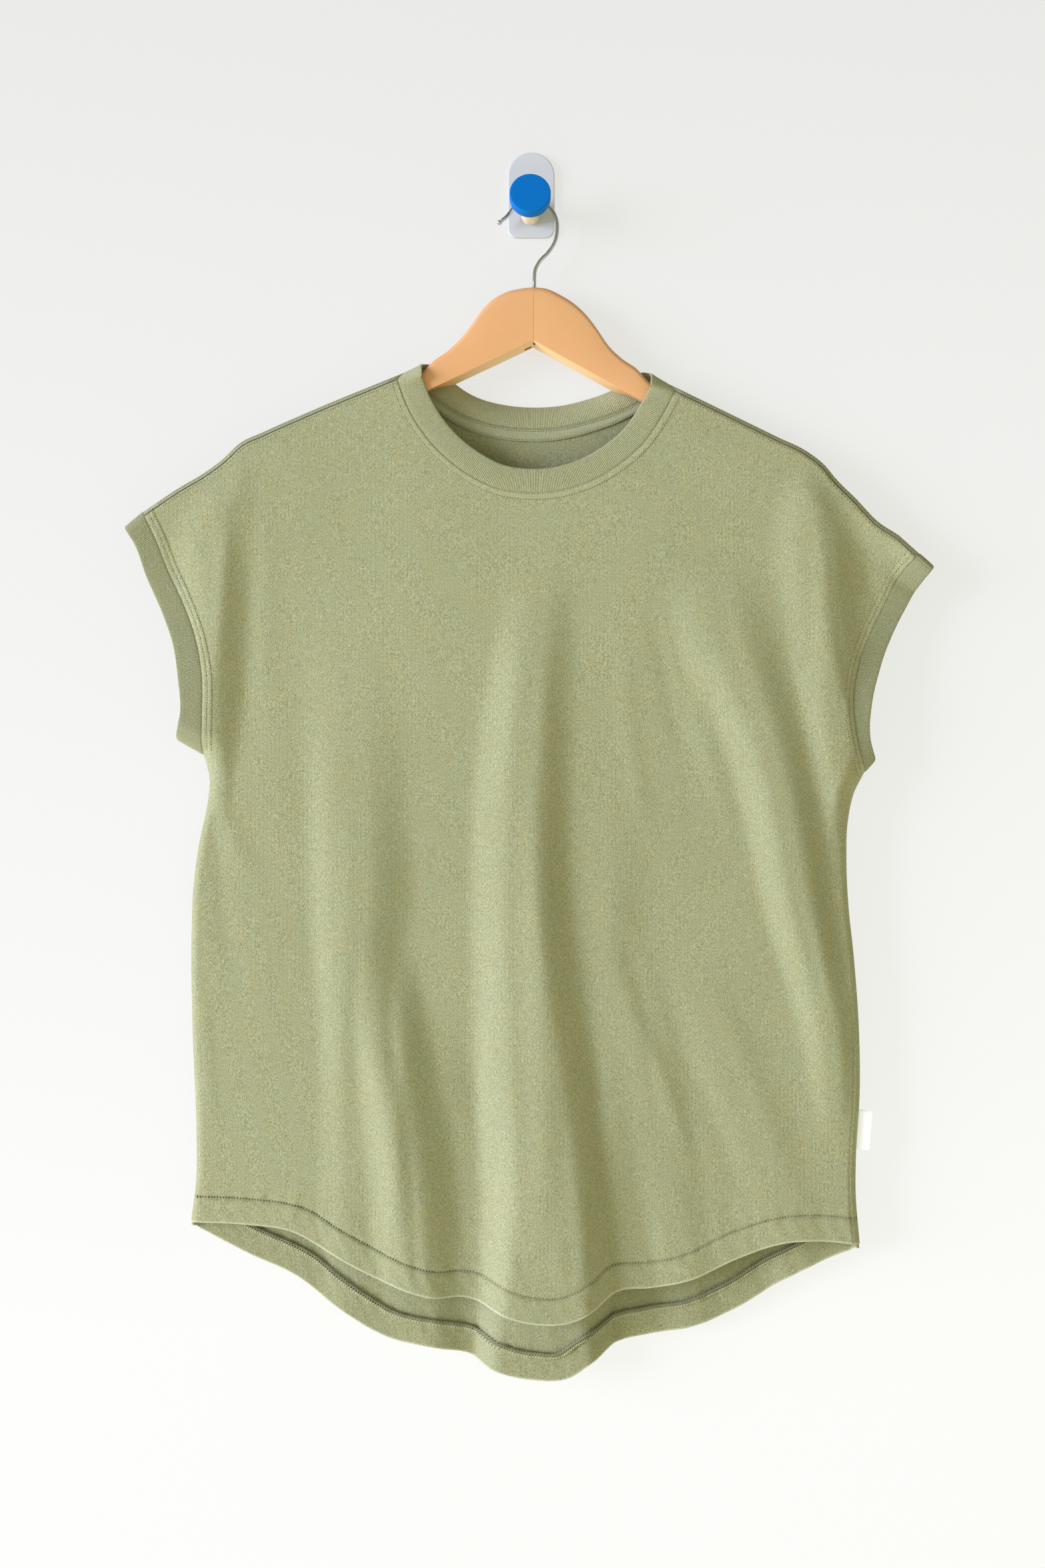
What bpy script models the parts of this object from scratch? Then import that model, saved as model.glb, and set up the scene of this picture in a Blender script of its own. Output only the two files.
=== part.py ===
# T-shirt in cotton jersey on a wooden hanger, hung from a wall peg.
# The origin is the middle of the wall plate's back face. The wall is the plane y = 0,
# the shirt hangs in front of it, towards -Y, and +Z is up.
# Sizes are written in millimetres and turned into metres where a mesh is made.
import bpy
import bmesh
import numpy as np
from collections import namedtuple
from math import cos, sin, tan, radians
from mathutils import Vector

MM = 0.001

# Cloth
WALL = 1.4              # jersey panel with its seam bulk
HEM_WALL = 2.8          # the hem is turned up once
HEM_HEIGHT = 20.0
SIDE_GAP = 0.6          # between the front and back panels along a side seam
EDGE_GAP = 0.5          # between a panel's cut edge and the rib sewn to it
TOP_ROLL = 8.4          # radius of the cloth where it turns over the hanger
SIDE_ROLL = 7.0         # radius of the soft fold at the side seams
SHOULDER_SEAM = 26.0    # degrees up the roll from its front, where the panels meet
SEAM_GAP_ANGLE = 5.0    # degrees between the two panels there
RIB_THICK = 2.0
COLLAR_WIDTH = 19.0
BACK_NECK_LEAN = 24.0   # degrees that the collar leans to the wall at the back
TAPE_WIDTH = 9.5
TAPE_THICK = 0.9
LABEL_TOP = -720.9
LABEL_HEIGHT = 30.7
LABEL_WIDTH = 10.8
LABEL_THICK = 1.2

# Hanger, hook and wall peg
LEAN = radians(3.0)     # the hanger's foot stands out from the wall
HOOK_DEPTH = 12.0       # wire to wall
HOOK_TOP = -7.0
HOOK_RADIUS = 20.0
WIRE = 3.0
TIP_RADIUS = 2.0
WOOD_HALF = 6.0
WOOD_MIDDLE = 1.7
JOINT_GAP = 0.3
WOOD_DROP = 2.1         # cloth and seat clearance above the wood
NECK_DROP = 3.2         # the same under the thicker collar
TIP_DROP = 3.0          # the same where the cloth bends over the arm's end
PLATE_WIDTH = 37.0
PLATE_TOP = 33.5
PLATE_BOTTOM = -34.0
PLATE_CORNER = 7.0
PLATE_THICK = 4.0
PLATE_EDGE = 0.8        # rounding of the plate's rim
PEG_X = -1.0
PEG_HEIGHT = -17.7
PEG_RADIUS = 7.3
PEG_LENGTH = 27.0
PEG_TILT = radians(10.5)
KNOB_RADIUS = 15.9
KNOB_THICK = 11.0
SEAT_GAP = 0.3

Point = namedtuple("Point", "x z")
Armhole = namedtuple("Armhole", "seam_x seam_z edge_x edge_z")
Hem = namedtuple("Hem", "x front back")
Hang = namedtuple("Hang", "z middle front_out back_out")
Fold = namedtuple("Fold", "z x flat slope front back")
Arm = namedtuple("Arm", "x top bottom")

# Top line of the shirt, cuff to collar and collar to cuff
LEFT_SHOULDER = [
    Point(-302.5, -254.0), Point(-277, -236.6), Point(-253, -222), Point(-239.5, -211.5),
    Point(-230, -202), Point(-209, -191.2), Point(-182, -179), Point(-151, -165.6),
    Point(-126, -155.3), Point(-105.5, -146.9), Point(-86.2, -139.6)]
RIGHT_SHOULDER = [
    Point(93.3, -146.9), Point(113.4, -156.3), Point(132.4, -165.7), Point(164.2, -181.4),
    Point(192, -195.2), Point(216.5, -207.5), Point(229, -217.5), Point(238, -228.5),
    Point(253.5, -244), Point(269, -260.5), Point(290, -275), Point(302.4, -286.5)]

# Armhole seam and the free edge of its rib, shoulder to underarm
LEFT_ARMHOLE = [
    Armhole(-302.5, -254.0, -317.2, -266.4), Armhole(-291.5, -277.0, -308.5, -280.0),
    Armhole(-282.5, -300.0, -299.0, -306.0), Armhole(-270.5, -326.0, -287.2, -332.5),
    Armhole(-260.5, -353.0, -278.0, -358.0), Armhole(-255.0, -383.0, -273.6, -386.0),
    Armhole(-255.0, -413.0, -272.2, -411.0), Armhole(-256.0, -443.0, -277.0, -431.0)]
RIGHT_ARMHOLE = [
    Armhole(302.4, -286.5, 314.0, -297.0), Armhole(288.5, -302.0, 302.5, -312.0),
    Armhole(278.0, -322.0, 292.0, -330.0), Armhole(265.5, -347.0, 281.0, -352.0),
    Armhole(255.5, -372.0, 271.5, -377.0), Armhole(250.0, -401.0, 264.5, -404.0),
    Armhole(252.5, -428.0, 263.4, -430.0), Armhole(260.3, -457.0, 268.4, -448.0)]

# Side seams, underarm to hem
LEFT_SIDE = [
    Point(-256, -443), Point(-251.4, -462), Point(-253, -482), Point(-258.6, -508),
    Point(-264, -545), Point(-265.7, -585), Point(-264.9, -660), Point(-262, -740),
    Point(-262.4, -778), Point(-266.3, -808)]
RIGHT_SIDE = [
    Point(260.3, -457), Point(252, -473.5), Point(247.4, -495), Point(246.3, -526),
    Point(247.8, -560), Point(252, -600), Point(256.5, -665), Point(256.8, -710),
    Point(254.3, -750), Point(253.8, -786), Point(257, -826)]

# Neckline of each panel, from the left neck point to the right one
FRONT_NECK = [
    Point(-104.4, -151.0), Point(-98.2, -169), Point(-86.5, -190.3), Point(-69, -211),
    Point(-49.8, -226), Point(-28, -237), Point(-3, -241.2), Point(19.7, -239.9),
    Point(43.5, -233), Point(67, -219.7), Point(87, -202), Point(101, -181.5),
    Point(111.8, -160.6)]
BACK_NECK = [
    Point(-97.5, -143.9), Point(-86.5, -153), Point(-76.2, -161.9), Point(-60.3, -172.9),
    Point(-44.1, -180.2), Point(-22, -185.5), Point(4.1, -187.4), Point(28, -185.5),
    Point(52.1, -179.4), Point(68, -174), Point(83.5, -166.5), Point(95, -158.5),
    Point(105, -152.4)]

# Shirt-tail hem, left side seam to right side seam
HEM = [
    Hem(-266.3, -808, -812), Hem(-222, -809.6, -835.5), Hem(-184, -815.8, -853.5),
    Hem(-155, -832, -875.3), Hem(-115, -852, -899.3), Hem(-75, -864.2, -908.8),
    Hem(-49, -865.6, -914.5), Hem(-30, -872.5, -922.7), Hem(0, -881, -929.5),
    Hem(31, -879.8, -927.4), Hem(50, -871, -914.5), Hem(68, -860.6, -905),
    Hem(93, -858.2, -899), Hem(125, -851.3, -893), Hem(164, -834.4, -877),
    Hem(196, -824, -857), Hem(226, -822.6, -842), Hem(257, -826, -830)]

# Middle plane of the shirt in front of the wall, and how far each panel swells from it
HANG = [
    Hang(-130, -18.4, 0, 0), Hang(-180, -21.1, 2, 0), Hang(-230, -23.7, 4, 1),
    Hang(-300, -24.2, 5, 2), Hang(-450, -22.5, 6, 3), Hang(-620, -21.0, 5, 3),
    Hang(-930, -19.5, 4, 3)]

# Ridges that hang in the cloth: crest, its flat half width, the width of its side slopes,
# and how far the front and the back panel stand out in it
FOLDS = {
    "left arm end": [
        Fold(-205, -231, 2, 16, 0, 0), Fold(-250, -242, 3, 20, 6, 2),
        Fold(-350, -246, 3, 22, 7, 3), Fold(-430, -247, 3, 18, 5, 2),
        Fold(-500, -250, 2, 15, 0, 0)],
    "left": [
        Fold(-330, -140, 4, 34, 0, 0), Fold(-450, -136, 6, 34, 8, 3),
        Fold(-555, -133, 6, 34, 11, 5), Fold(-660, -139, 4, 25, 7, 4),
        Fold(-920, -141, 4, 25, 6, 5)],
    "left inner": [
        Fold(-590, -112, 3, 22, 0, 0), Fold(-660, -106, 4, 23, 8, 4),
        Fold(-715, -93, 4, 23, 9, 5), Fold(-920, -74, 4, 24, 8, 7)],
    "middle": [
        Fold(-300, 8, 4, 26, 0, 0), Fold(-400, -2, 8, 30, 8, 4),
        Fold(-555, -9, 16, 30, 12, 9), Fold(-690, 0, 24, 27, 15, 13),
        Fold(-790, 5, 30, 22, 18, 17), Fold(-930, 9, 36, 19, 20, 20)],
    "right": [
        Fold(-290, 140, 6, 36, 0, 0), Fold(-348, 150, 8, 36, 6, 3),
        Fold(-453, 186, 6, 30, 9, 4), Fold(-557, 206, 5, 26, 10, 4),
        Fold(-661, 229, 4, 22, 8, 3), Fold(-745, 240, 3, 16, 0, 0)],
    "right arm end": [
        Fold(-215, 222, 2, 14, 0, 0), Fold(-250, 221, 3, 20, 6, 2),
        Fold(-348, 228, 3, 18, 7, 3), Fold(-453, 238, 3, 14, 6, 2),
        Fold(-530, 243, 2, 12, 0, 0)],
    "lower right": [
        Fold(-600, 84, 3, 20, 0, 0), Fold(-661, 95, 4, 20, 4, 2),
        Fold(-766, 121, 4, 20, 4, 3), Fold(-920, 146, 4, 20, 3, 3)],
    "outer lower right": [
        Fold(-600, 122, 3, 20, 0, 0), Fold(-661, 142, 4, 20, 4, 2),
        Fold(-766, 189, 4, 20, 4, 3), Fold(-920, 226, 4, 18, 3, 3)],
}

# Hanger arms, joint to tip: the bare wood inside the neck, then its underside
LEFT_ARM = [
    Arm(0.0, -76.6, -120.3), Arm(-11.6, -78.0, -125.8), Arm(-22.7, -81.2, -131.1),
    Arm(-31.2, -86.1, -135.2), Arm(-39.5, -93.8, -139.1), Arm(-47.9, -105.7, -143.1),
    Arm(-56.3, -116.8, -147.1), Arm(-67.4, -127.5, -152.4), Arm(-80.0, -136.8, -158.4),
    Arm(-84.5, -141.4, -160.5), Arm(-89.0, -144.8, -162.8)]
RIGHT_ARM = [
    Arm(0.0, -76.6, -120.3), Arm(10.7, -78.0, -126.4), Arm(21.9, -83.3, -132.7),
    Arm(31.7, -89.6, -138.2), Arm(41.4, -98.7, -143.6), Arm(49.8, -109.8, -148.3),
    Arm(58.2, -122.4, -153.0), Arm(69.4, -133.5, -159.3), Arm(82.0, -142.6, -166.4),
    Arm(86.5, -147.9, -168.6), Arm(91.0, -151.8, -170.9)]
ARM_DEPTH = 21.5        # height of the wood under the cloth
ARM_TIP = 232.0         # reach of each arm from the joint

# Mesh steps
NECK_COLUMNS = 10
NECK_CORNER = (0.0, 3.5, 8.0, 13.5)
ROLL_COLUMNS = (0.0, 0.2, 1.4, 4.2, 7.0)
ARMHOLE_ROWS = 6
BODY_ROWS = 12
UNDERARM_ROWS = (7.0, 1.5, 0.0)
FRONT_TOP_ROWS = (0.0, 1.8, 3.7)
BACK_TOP_ROWS = (0.0, 0.8, 3.6, 8.4)
HEM_ROWS = (HEM_HEIGHT + 1.5, HEM_HEIGHT, 0.0)
OVERLAP_ANGLES = (68.0, 50.0, 38.0, SHOULDER_SEAM + SEAM_GAP_ANGLE)
FADE = 16.0


def clear_scene():
    for old in list(bpy.data.objects):
        bpy.data.objects.remove(old, do_unlink=True)


def hermite(knots, values, slopes, where):
    """Smooth values at any place between knots that rise."""
    place = np.clip(where, knots[0], knots[-1])
    i = np.clip(np.searchsorted(knots, place, side="right") - 1, 0, len(knots) - 2)
    span = knots[i + 1] - knots[i]
    t = (place - knots[i]) / span
    if values.ndim == 2:
        span, t = np.asarray(span)[..., None], np.asarray(t)[..., None]
    lift = t * t * (3 - 2 * t)
    leave = t * (1 - t) ** 2 * span
    arrive = t * t * (1 - t) * span
    return values[i] * (1 - lift) + values[i + 1] * lift + slopes[i] * leave - slopes[i + 1] * arrive


def smooth_line(points):
    """A smooth line through points: its length, and a function of the distance along it."""
    knots = np.array(points, float)
    steps = np.linalg.norm(np.diff(knots, axis=0), axis=1)
    along = np.concatenate([[0.0], np.cumsum(steps)])
    slopes = np.gradient(knots, along, axis=0)
    return along[-1], lambda distance: hermite(along, knots, slopes, np.asarray(distance, float))


def column(rows, key, value):
    """One column of a table as a smooth function of another."""
    pairs = sorted((getattr(row, key), getattr(row, value)) for row in rows)
    knots = np.array([pair[0] for pair in pairs], float)
    values = np.array([pair[1] for pair in pairs], float)
    slopes = np.gradient(values, knots)
    return lambda where: hermite(knots, values, slopes, np.asarray(where, float))


def smooth_step(share):
    t = np.clip(share, 0, 1)
    return t * t * (3 - 2 * t)


def roll(share):
    """Quarter circle, from 0 at a folded edge to 1 where the fold ends."""
    return np.sqrt(1 - (1 - np.clip(share, 0, 1)) ** 2)


left_height = column(LEFT_SHOULDER, "x", "z")
right_height = column(RIGHT_SHOULDER, "x", "z")
left_side_x = column(LEFT_SIDE, "z", "x")
right_side_x = column(RIGHT_SIDE, "z", "x")
middle_y = column(HANG, "z", "middle")
front_out = column(HANG, "z", "front_out")
back_out = column(HANG, "z", "back_out")
FOLD_LINES = [
    {name: column(rows, "z", name) for name in ("x", "flat", "slope", "front", "back")}
    for rows in FOLDS.values()]


def shoulder_height(x):
    """Height of the shirt's top line, carried straight on across the neck."""
    left = left_height(x) + np.maximum(x - LEFT_SHOULDER[-1].x, 0) * 0.38
    right = right_height(x) + np.maximum(RIGHT_SHOULDER[0].x - x, 0) * 0.47
    return np.where(np.asarray(x) < 0, left, right)


def shoulder_slope(x):
    """Rise of the top line over one millimetre."""
    return shoulder_height(x + 0.5) - shoulder_height(x - 0.5)


def folds_at(x, z, panel):
    """How far a panel stands out in its folds."""
    total = np.zeros_like(x)
    for line in FOLD_LINES:
        off = np.abs(x - line["x"](z)) - line["flat"](z)
        total += line[panel](z) * smooth_step(1 - off / line["slope"](z))
    return total


def depth(x, z, panel):
    """Place of a panel's outer face in front of the wall."""
    side = -1 if panel == "front" else 1
    under_shoulder = (shoulder_height(x) - z) / np.sqrt(1 + shoulder_slope(x) ** 2)
    above_left = np.maximum(z - LEFT_SIDE[0].z, 0)
    above_right = np.maximum(z - RIGHT_SIDE[0].z, 0)
    from_left = np.hypot(x - left_side_x(z), above_left)
    from_right = np.hypot(right_side_x(z) - x, above_right)
    from_side = np.minimum(from_left, from_right)
    lower = smooth_step((-230 - z) / 120)
    radius = TOP_ROLL + (SIDE_ROLL - TOP_ROLL) * lower
    top = roll(under_shoulder / TOP_ROLL)
    swell = front_out(z) if panel == "front" else back_out(z)
    swell = swell * (1 - np.clip((x + 2) / 262, -1, 1) ** 2)
    fade = smooth_step(from_side / FADE) * smooth_step(under_shoulder / (2 * FADE))
    stand = top * (radius * roll(from_side / SIDE_ROLL) + SIDE_GAP / 2)
    return middle_y(z) + side * (stand + swell * fade) - folds_at(x, z, panel) * fade


def shoulder_points(xs, below):
    """Points along the shoulder, a distance below its top line."""
    slope = shoulder_slope(xs)
    length = np.sqrt(1 + slope ** 2)
    return np.stack([xs + below * slope / length, shoulder_height(xs) - below / length], axis=1)


LEFT_COLUMNS = [point.x for point in LEFT_SHOULDER[1:-2]]
RIGHT_COLUMNS = [point.x for point in RIGHT_SHOULDER[2:-1]]


def top_line(neck, below):
    """Top of each column of a panel: left shoulder, neckline, right shoulder."""
    length, neck_at = smooth_line(neck)
    corner = np.array(NECK_CORNER)
    middle = np.linspace(corner[-1], length - corner[-1], NECK_COLUMNS)[1:-1]
    across = neck_at(np.concatenate([corner, middle, length - corner[::-1]]))
    return np.concatenate([
        shoulder_points(np.array(LEFT_COLUMNS), below), across,
        shoulder_points(np.array(RIGHT_COLUMNS), below)])


def rows_down(length, seam, start, top_rows):
    """Distances of the rows along an edge that is cut by the underarm at seam."""
    armhole = np.linspace(top_rows[-1], seam - UNDERARM_ROWS[0] - start, ARMHOLE_ROWS + 2)[1:-1]
    body = np.linspace(seam - start, length - start - HEM_ROWS[0], BODY_ROWS + 1)[1:-1]
    return start + np.concatenate([
        top_rows, armhole, [seam - start - up for up in UNDERARM_ROWS], body,
        [length - start - up for up in HEM_ROWS]])


def edge_points(armhole, side, end, start, top_rows):
    """Points down one edge of a panel: along the armhole seam, then the side seam."""
    seam_length, seam_at = smooth_line([(row.seam_x, row.seam_z) for row in armhole])
    side_length, side_at = smooth_line(side[:-1] + [end])
    distances = rows_down(seam_length + side_length, seam_length, start, top_rows)
    on_seam = seam_at(np.minimum(distances, seam_length))
    on_side = side_at(np.maximum(distances - seam_length, 0))
    return np.where((distances <= seam_length)[:, None], on_seam, on_side)


def panel_plan(panel):
    """Plan of a panel as seen from the front: rows down, columns from left to right."""
    front = panel == "front"
    below = TOP_ROLL * (1 - sin(radians(SHOULDER_SEAM))) if front else 0.0
    top_rows = FRONT_TOP_ROWS if front else BACK_TOP_ROWS
    hem_line = column(HEM, "x", panel)
    left_end = Point(HEM[0].x, getattr(HEM[0], panel))
    right_end = Point(HEM[-1].x, getattr(HEM[-1], panel))
    left = edge_points(LEFT_ARMHOLE, LEFT_SIDE, left_end, below, top_rows)
    right = edge_points(RIGHT_ARMHOLE, RIGHT_SIDE, right_end, below, top_rows)
    top = top_line(FRONT_NECK if front else BACK_NECK, below)
    share = (top[:, 0] - left[0, 0]) / (right[0, 0] - left[0, 0])
    hem_x = left[-1, 0] + share * (right[-1, 0] - left[-1, 0])
    bottom = np.stack([hem_x, hem_line(hem_x)], axis=1)
    drop = np.linalg.norm(bottom - top, axis=1)

    down = np.linalg.norm(np.diff(left, axis=0), axis=1)
    edge_share = np.concatenate([[0], np.cumsum(down)]) / down.sum()
    rows = len(left)
    first, last = len(top_rows) - 1, rows - len(HEM_ROWS)
    even = np.linspace(0, 1, last - first + 1)
    edge_even = (edge_share[first:last + 1] - edge_share[first]) / (edge_share[last] - edge_share[first])
    near_edge = np.abs(2 * share - 1) ** 1.5
    plan = np.zeros((rows, len(top), 2))
    for row in range(rows):
        if row <= first:
            down_share = top_rows[row] * 1.08 / drop
        elif row >= last:
            down_share = 1 - HEM_ROWS[row - last] / drop
        else:
            step = even[row - first] + (edge_even[row - first] - even[row - first]) * near_edge
            start, stop = top_rows[-1] * 1.08 / drop, 1 - HEM_ROWS[0] / drop
            down_share = start + step * (stop - start)
        left_bow = left[row] - (left[0] + edge_share[row] * (left[-1] - left[0]))
        right_bow = right[row] - (right[0] + edge_share[row] * (right[-1] - right[0]))
        straight = top + down_share[:, None] * (bottom - top)
        plan[row] = straight + (1 - share)[:, None] * left_bow + share[:, None] * right_bow
    left_strip = roll_columns(left, plan[:, 0])
    right_strip = roll_columns(right, plan[:, -1])[:, ::-1]
    return np.concatenate([left_strip, plan, right_strip], axis=1)


def roll_columns(edge, inner):
    """Narrow columns beside an edge, for the soft fold at the side seam."""
    across = np.linalg.norm(inner - edge, axis=1)
    shares = np.array(ROLL_COLUMNS)[None, :] / across[:, None]
    return edge[:, None] + (inner - edge)[:, None] * shares[..., None]


def collection_named(name):
    found = bpy.data.collections.new(name)
    bpy.context.scene.collection.children.link(found)
    return found


def material(name, colour, roughness, metallic=0.0):
    made = bpy.data.materials.new(name)
    made.use_nodes = True
    shader = made.node_tree.nodes["Principled BSDF"]
    shader.inputs["Base Color"].default_value = (*colour, 1.0)
    shader.inputs["Roughness"].default_value = roughness
    shader.inputs["Metallic"].default_value = metallic
    made.diffuse_color = (*colour, 1.0)
    return made


def mesh_object(name, points, faces, finish):
    """A smooth-shaded object from points in millimetres."""
    mesh = bpy.data.meshes.new(name)
    mesh.from_pydata([Vector(point) * MM for point in points], [], faces)
    mesh.update()
    mesh.shade_smooth()
    mesh.set_sharp_from_angle(angle=radians(40))
    made = bpy.data.objects.new(name, mesh)
    made.data.materials.append(finish)
    shirt.objects.link(made)
    return made


def bmesh_object(name, bm, finish):
    mesh = bpy.data.meshes.new(name)
    bm.to_mesh(mesh)
    bm.free()
    mesh.shade_smooth()
    mesh.set_sharp_from_angle(angle=radians(40))
    made = bpy.data.objects.new(name, mesh)
    made.data.materials.append(finish)
    shirt.objects.link(made)
    return made


def grid_faces(index, flip):
    """Four-sided faces over a block of point numbers."""
    faces = []
    for row in range(index.shape[0] - 1):
        for col in range(index.shape[1] - 1):
            corners = [index[row, col], index[row + 1, col], index[row + 1, col + 1], index[row, col + 1]]
            faces.append([int(corner) for corner in (corners[::-1] if flip else corners)])
    return faces


def surface_normals(points, faces):
    """Outward direction at each point of an open surface."""
    normals = np.zeros_like(points)
    for face in faces:
        a, b, c, d = (points[corner] for corner in face)
        across = np.cross(c - a, d - b)
        size = np.linalg.norm(across)
        if size > 0:
            normals[face] += across / size
    return normals / np.linalg.norm(normals, axis=1)[:, None]


def overlap_rows(plan):
    """The back panel's rows that come over each shoulder to the seam in front."""
    narrow = len(ROLL_COLUMNS)
    left_x = plan[0, narrow:narrow + len(LEFT_COLUMNS) + 1, 0]
    right_x = plan[0, -narrow - len(RIGHT_COLUMNS) - 1:-narrow, 0]
    left_rows, right_rows = [], []
    for angle in OVERLAP_ANGLES:
        turn = (90 - angle) / (90 - SHOULDER_SEAM)
        below = TOP_ROLL * (1 - sin(radians(angle)))
        for xs, end, cuff_x, armhole, found in (
                (left_x, FRONT_NECK[0].x, plan[0, 0, 0], LEFT_ARMHOLE, left_rows),
                (right_x[::-1], FRONT_NECK[-1].x, plan[0, -1, 0], RIGHT_ARMHOLE, right_rows)):
            slope = float(shoulder_slope(end))
            end_x = xs[-1] + (end - xs[-1]) * turn - below * slope / np.sqrt(1 + slope ** 2)
            inner = shoulder_points(cuff_x + (xs - cuff_x) * (end_x - cuff_x) / (xs[-1] - cuff_x), below)
            edge = smooth_line([(row.seam_x, row.seam_z) for row in armhole])[1](below)
            strip = roll_columns(edge[None], inner[:1])[0]
            found.append(np.concatenate([strip, inner]))
    rows = []
    for left, right, angle in zip(left_rows, right_rows, OVERLAP_ANGLES):
        across = np.concatenate([left, right[::-1]])
        out = middle_y(across[:, 1]) - TOP_ROLL * cos(radians(angle))
        rows.append(np.stack([across[:, 0], out, across[:, 1]], axis=1))
    return rows, len(left_rows[0]), len(right_rows[0])


def panel_surface(panel):
    """Outer face of a panel: points, faces and the point numbers along its open edges."""
    plan = panel_plan(panel)
    x, z = plan[..., 0], plan[..., 1]
    points = np.stack([x, depth(x, z, panel), z], axis=-1)
    rows, cols = x.shape
    index = np.arange(rows * cols).reshape(rows, cols)
    flat = points.reshape(-1, 3)
    faces = grid_faces(index, panel == "back")
    neck = slice(len(ROLL_COLUMNS) + len(LEFT_COLUMNS), -len(ROLL_COLUMNS) - len(RIGHT_COLUMNS))
    top_rows = FRONT_TOP_ROWS if panel == "front" else BACK_TOP_ROWS
    underarm = len(top_rows) + ARMHOLE_ROWS + len(UNDERARM_ROWS)
    edges = {
        "neck": list(index[0, neck]),
        "left": list(index[:underarm, 0]),
        "right": list(index[:underarm, -1])}
    edges["left over"], edges["right over"] = [], []
    edges["left neck over"], edges["right neck over"] = [], []
    if panel == "back":
        extra, left_width, right_width = overlap_rows(plan)
        last_left, last_right = index[0, :left_width], index[0, -right_width:]
        for row in extra:
            start = len(flat)
            flat = np.concatenate([flat, row])
            left = np.arange(start, start + left_width)
            right = np.arange(start + left_width, start + left_width + right_width)
            faces += grid_faces(np.stack([left, last_left]), True)
            faces += grid_faces(np.stack([right, last_right]), True)
            last_left, last_right = left, right
            edges["left over"].append(left[0])
            edges["right over"].append(right[-1])
            edges["left neck over"].append(left[-1])
            edges["right neck over"].append(right[0])
    return flat, faces, edges, index


def cloth_panel(name, surface, finish):
    """A panel's outer face, thickened inwards, with the turned hem thicker."""
    points, faces, _, index = surface
    made = mesh_object(name, points, faces, finish)
    group = made.vertex_groups.new(name="wall")
    group.add(list(range(len(points))), WALL / HEM_WALL, "REPLACE")
    group.add([int(i) for i in index[-len(HEM_ROWS) + 1:].ravel()], 1.0, "REPLACE")
    wall = made.modifiers.new("wall", "SOLIDIFY")
    wall.thickness = HEM_WALL * MM
    wall.offset = -1
    wall.use_even_offset = True
    wall.vertex_group = group.name
    return made


def rib_band(name, seam, outward, width, finish, lean=None):
    """A closed ring of folded rib that stands out from a ring of seam points."""
    around = len(seam)
    tangent = np.roll(seam, -1, axis=0) - np.roll(seam, 1, axis=0)
    normal = np.cross(outward, tangent)
    normal /= np.linalg.norm(normal, axis=1)[:, None]
    profile = [(0, -1), (0.45, -1), (0.93, -0.9), (1, 0), (0.93, 0.9), (0.45, 1), (0, 1)]
    lean = np.zeros(around) if lean is None else lean
    rings = []
    for out, side in profile:
        reach = EDGE_GAP + out * (width - EDGE_GAP)
        tip = out ** 2 * width * np.tan(lean)
        rings.append(seam + outward * reach[:, None] + normal * (side * RIB_THICK / 2 + tip)[:, None])
    points = np.concatenate(rings)
    index = np.arange(len(points)).reshape(len(profile), around)
    index = np.concatenate([index, index[:, :1]], axis=1)
    index = np.concatenate([index, index[:1]], axis=0)
    made = mesh_object(name, points, grid_faces(index, False), finish)
    face_out(made)
    return made


def face_out(made):
    bm = bmesh.new()
    bm.from_mesh(made.data)
    bmesh.ops.recalc_face_normals(bm, faces=bm.faces)
    bm.to_mesh(made.data)
    bm.free()


def seam_points(surface, numbers):
    """Points along a panel's edge, with the outward direction of its face there."""
    points, faces, _, _ = surface
    normals = surface_normals(points, faces)
    return points[numbers], normals[numbers]


def into_wall(points, normals, outward):
    """Edge points moved to the middle of the wall, but not where the rib stands off its face."""
    facing = np.clip(np.sum(normals * outward, axis=1), 0, 1)
    return points - normals * (WALL / 2 * (1 - facing))[:, None]


def collar(front, back, finish):
    """Crew neckband: its seam follows both necklines and comes over the shoulders."""
    over_right = back[2]["right neck over"][::-1]
    over_left = back[2]["left neck over"]
    front_points, front_normals = seam_points(front, front[2]["neck"])
    numbers = over_right + back[2]["neck"][::-1] + over_left
    back_points, back_normals = seam_points(back, numbers)
    points = np.concatenate([front_points, back_points])
    normals = np.concatenate([front_normals, back_normals])
    seam = points - normals * WALL / 2
    tangent = np.roll(seam, -1, axis=0) - np.roll(seam, 1, axis=0)
    outward = np.cross(normals, tangent)
    outward /= np.linalg.norm(outward, axis=1)[:, None]
    for _ in range(2):
        outward = outward + 0.5 * (np.roll(outward, 1, axis=0) + np.roll(outward, -1, axis=0))
        outward /= np.linalg.norm(outward, axis=1)[:, None]
    behind = smooth_step((normals[:, 1] - 0.5) / 0.4)
    reach = np.clip(1 - np.abs(seam[:, 0] - WOOD_MIDDLE) / 100, 0, 1)
    lean = radians(BACK_NECK_LEAN) * behind * smooth_step(reach * 2)
    width = np.full(len(seam), COLLAR_WIDTH)
    return rib_band("collar", seam, outward, width, finish, -lean)


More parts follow.
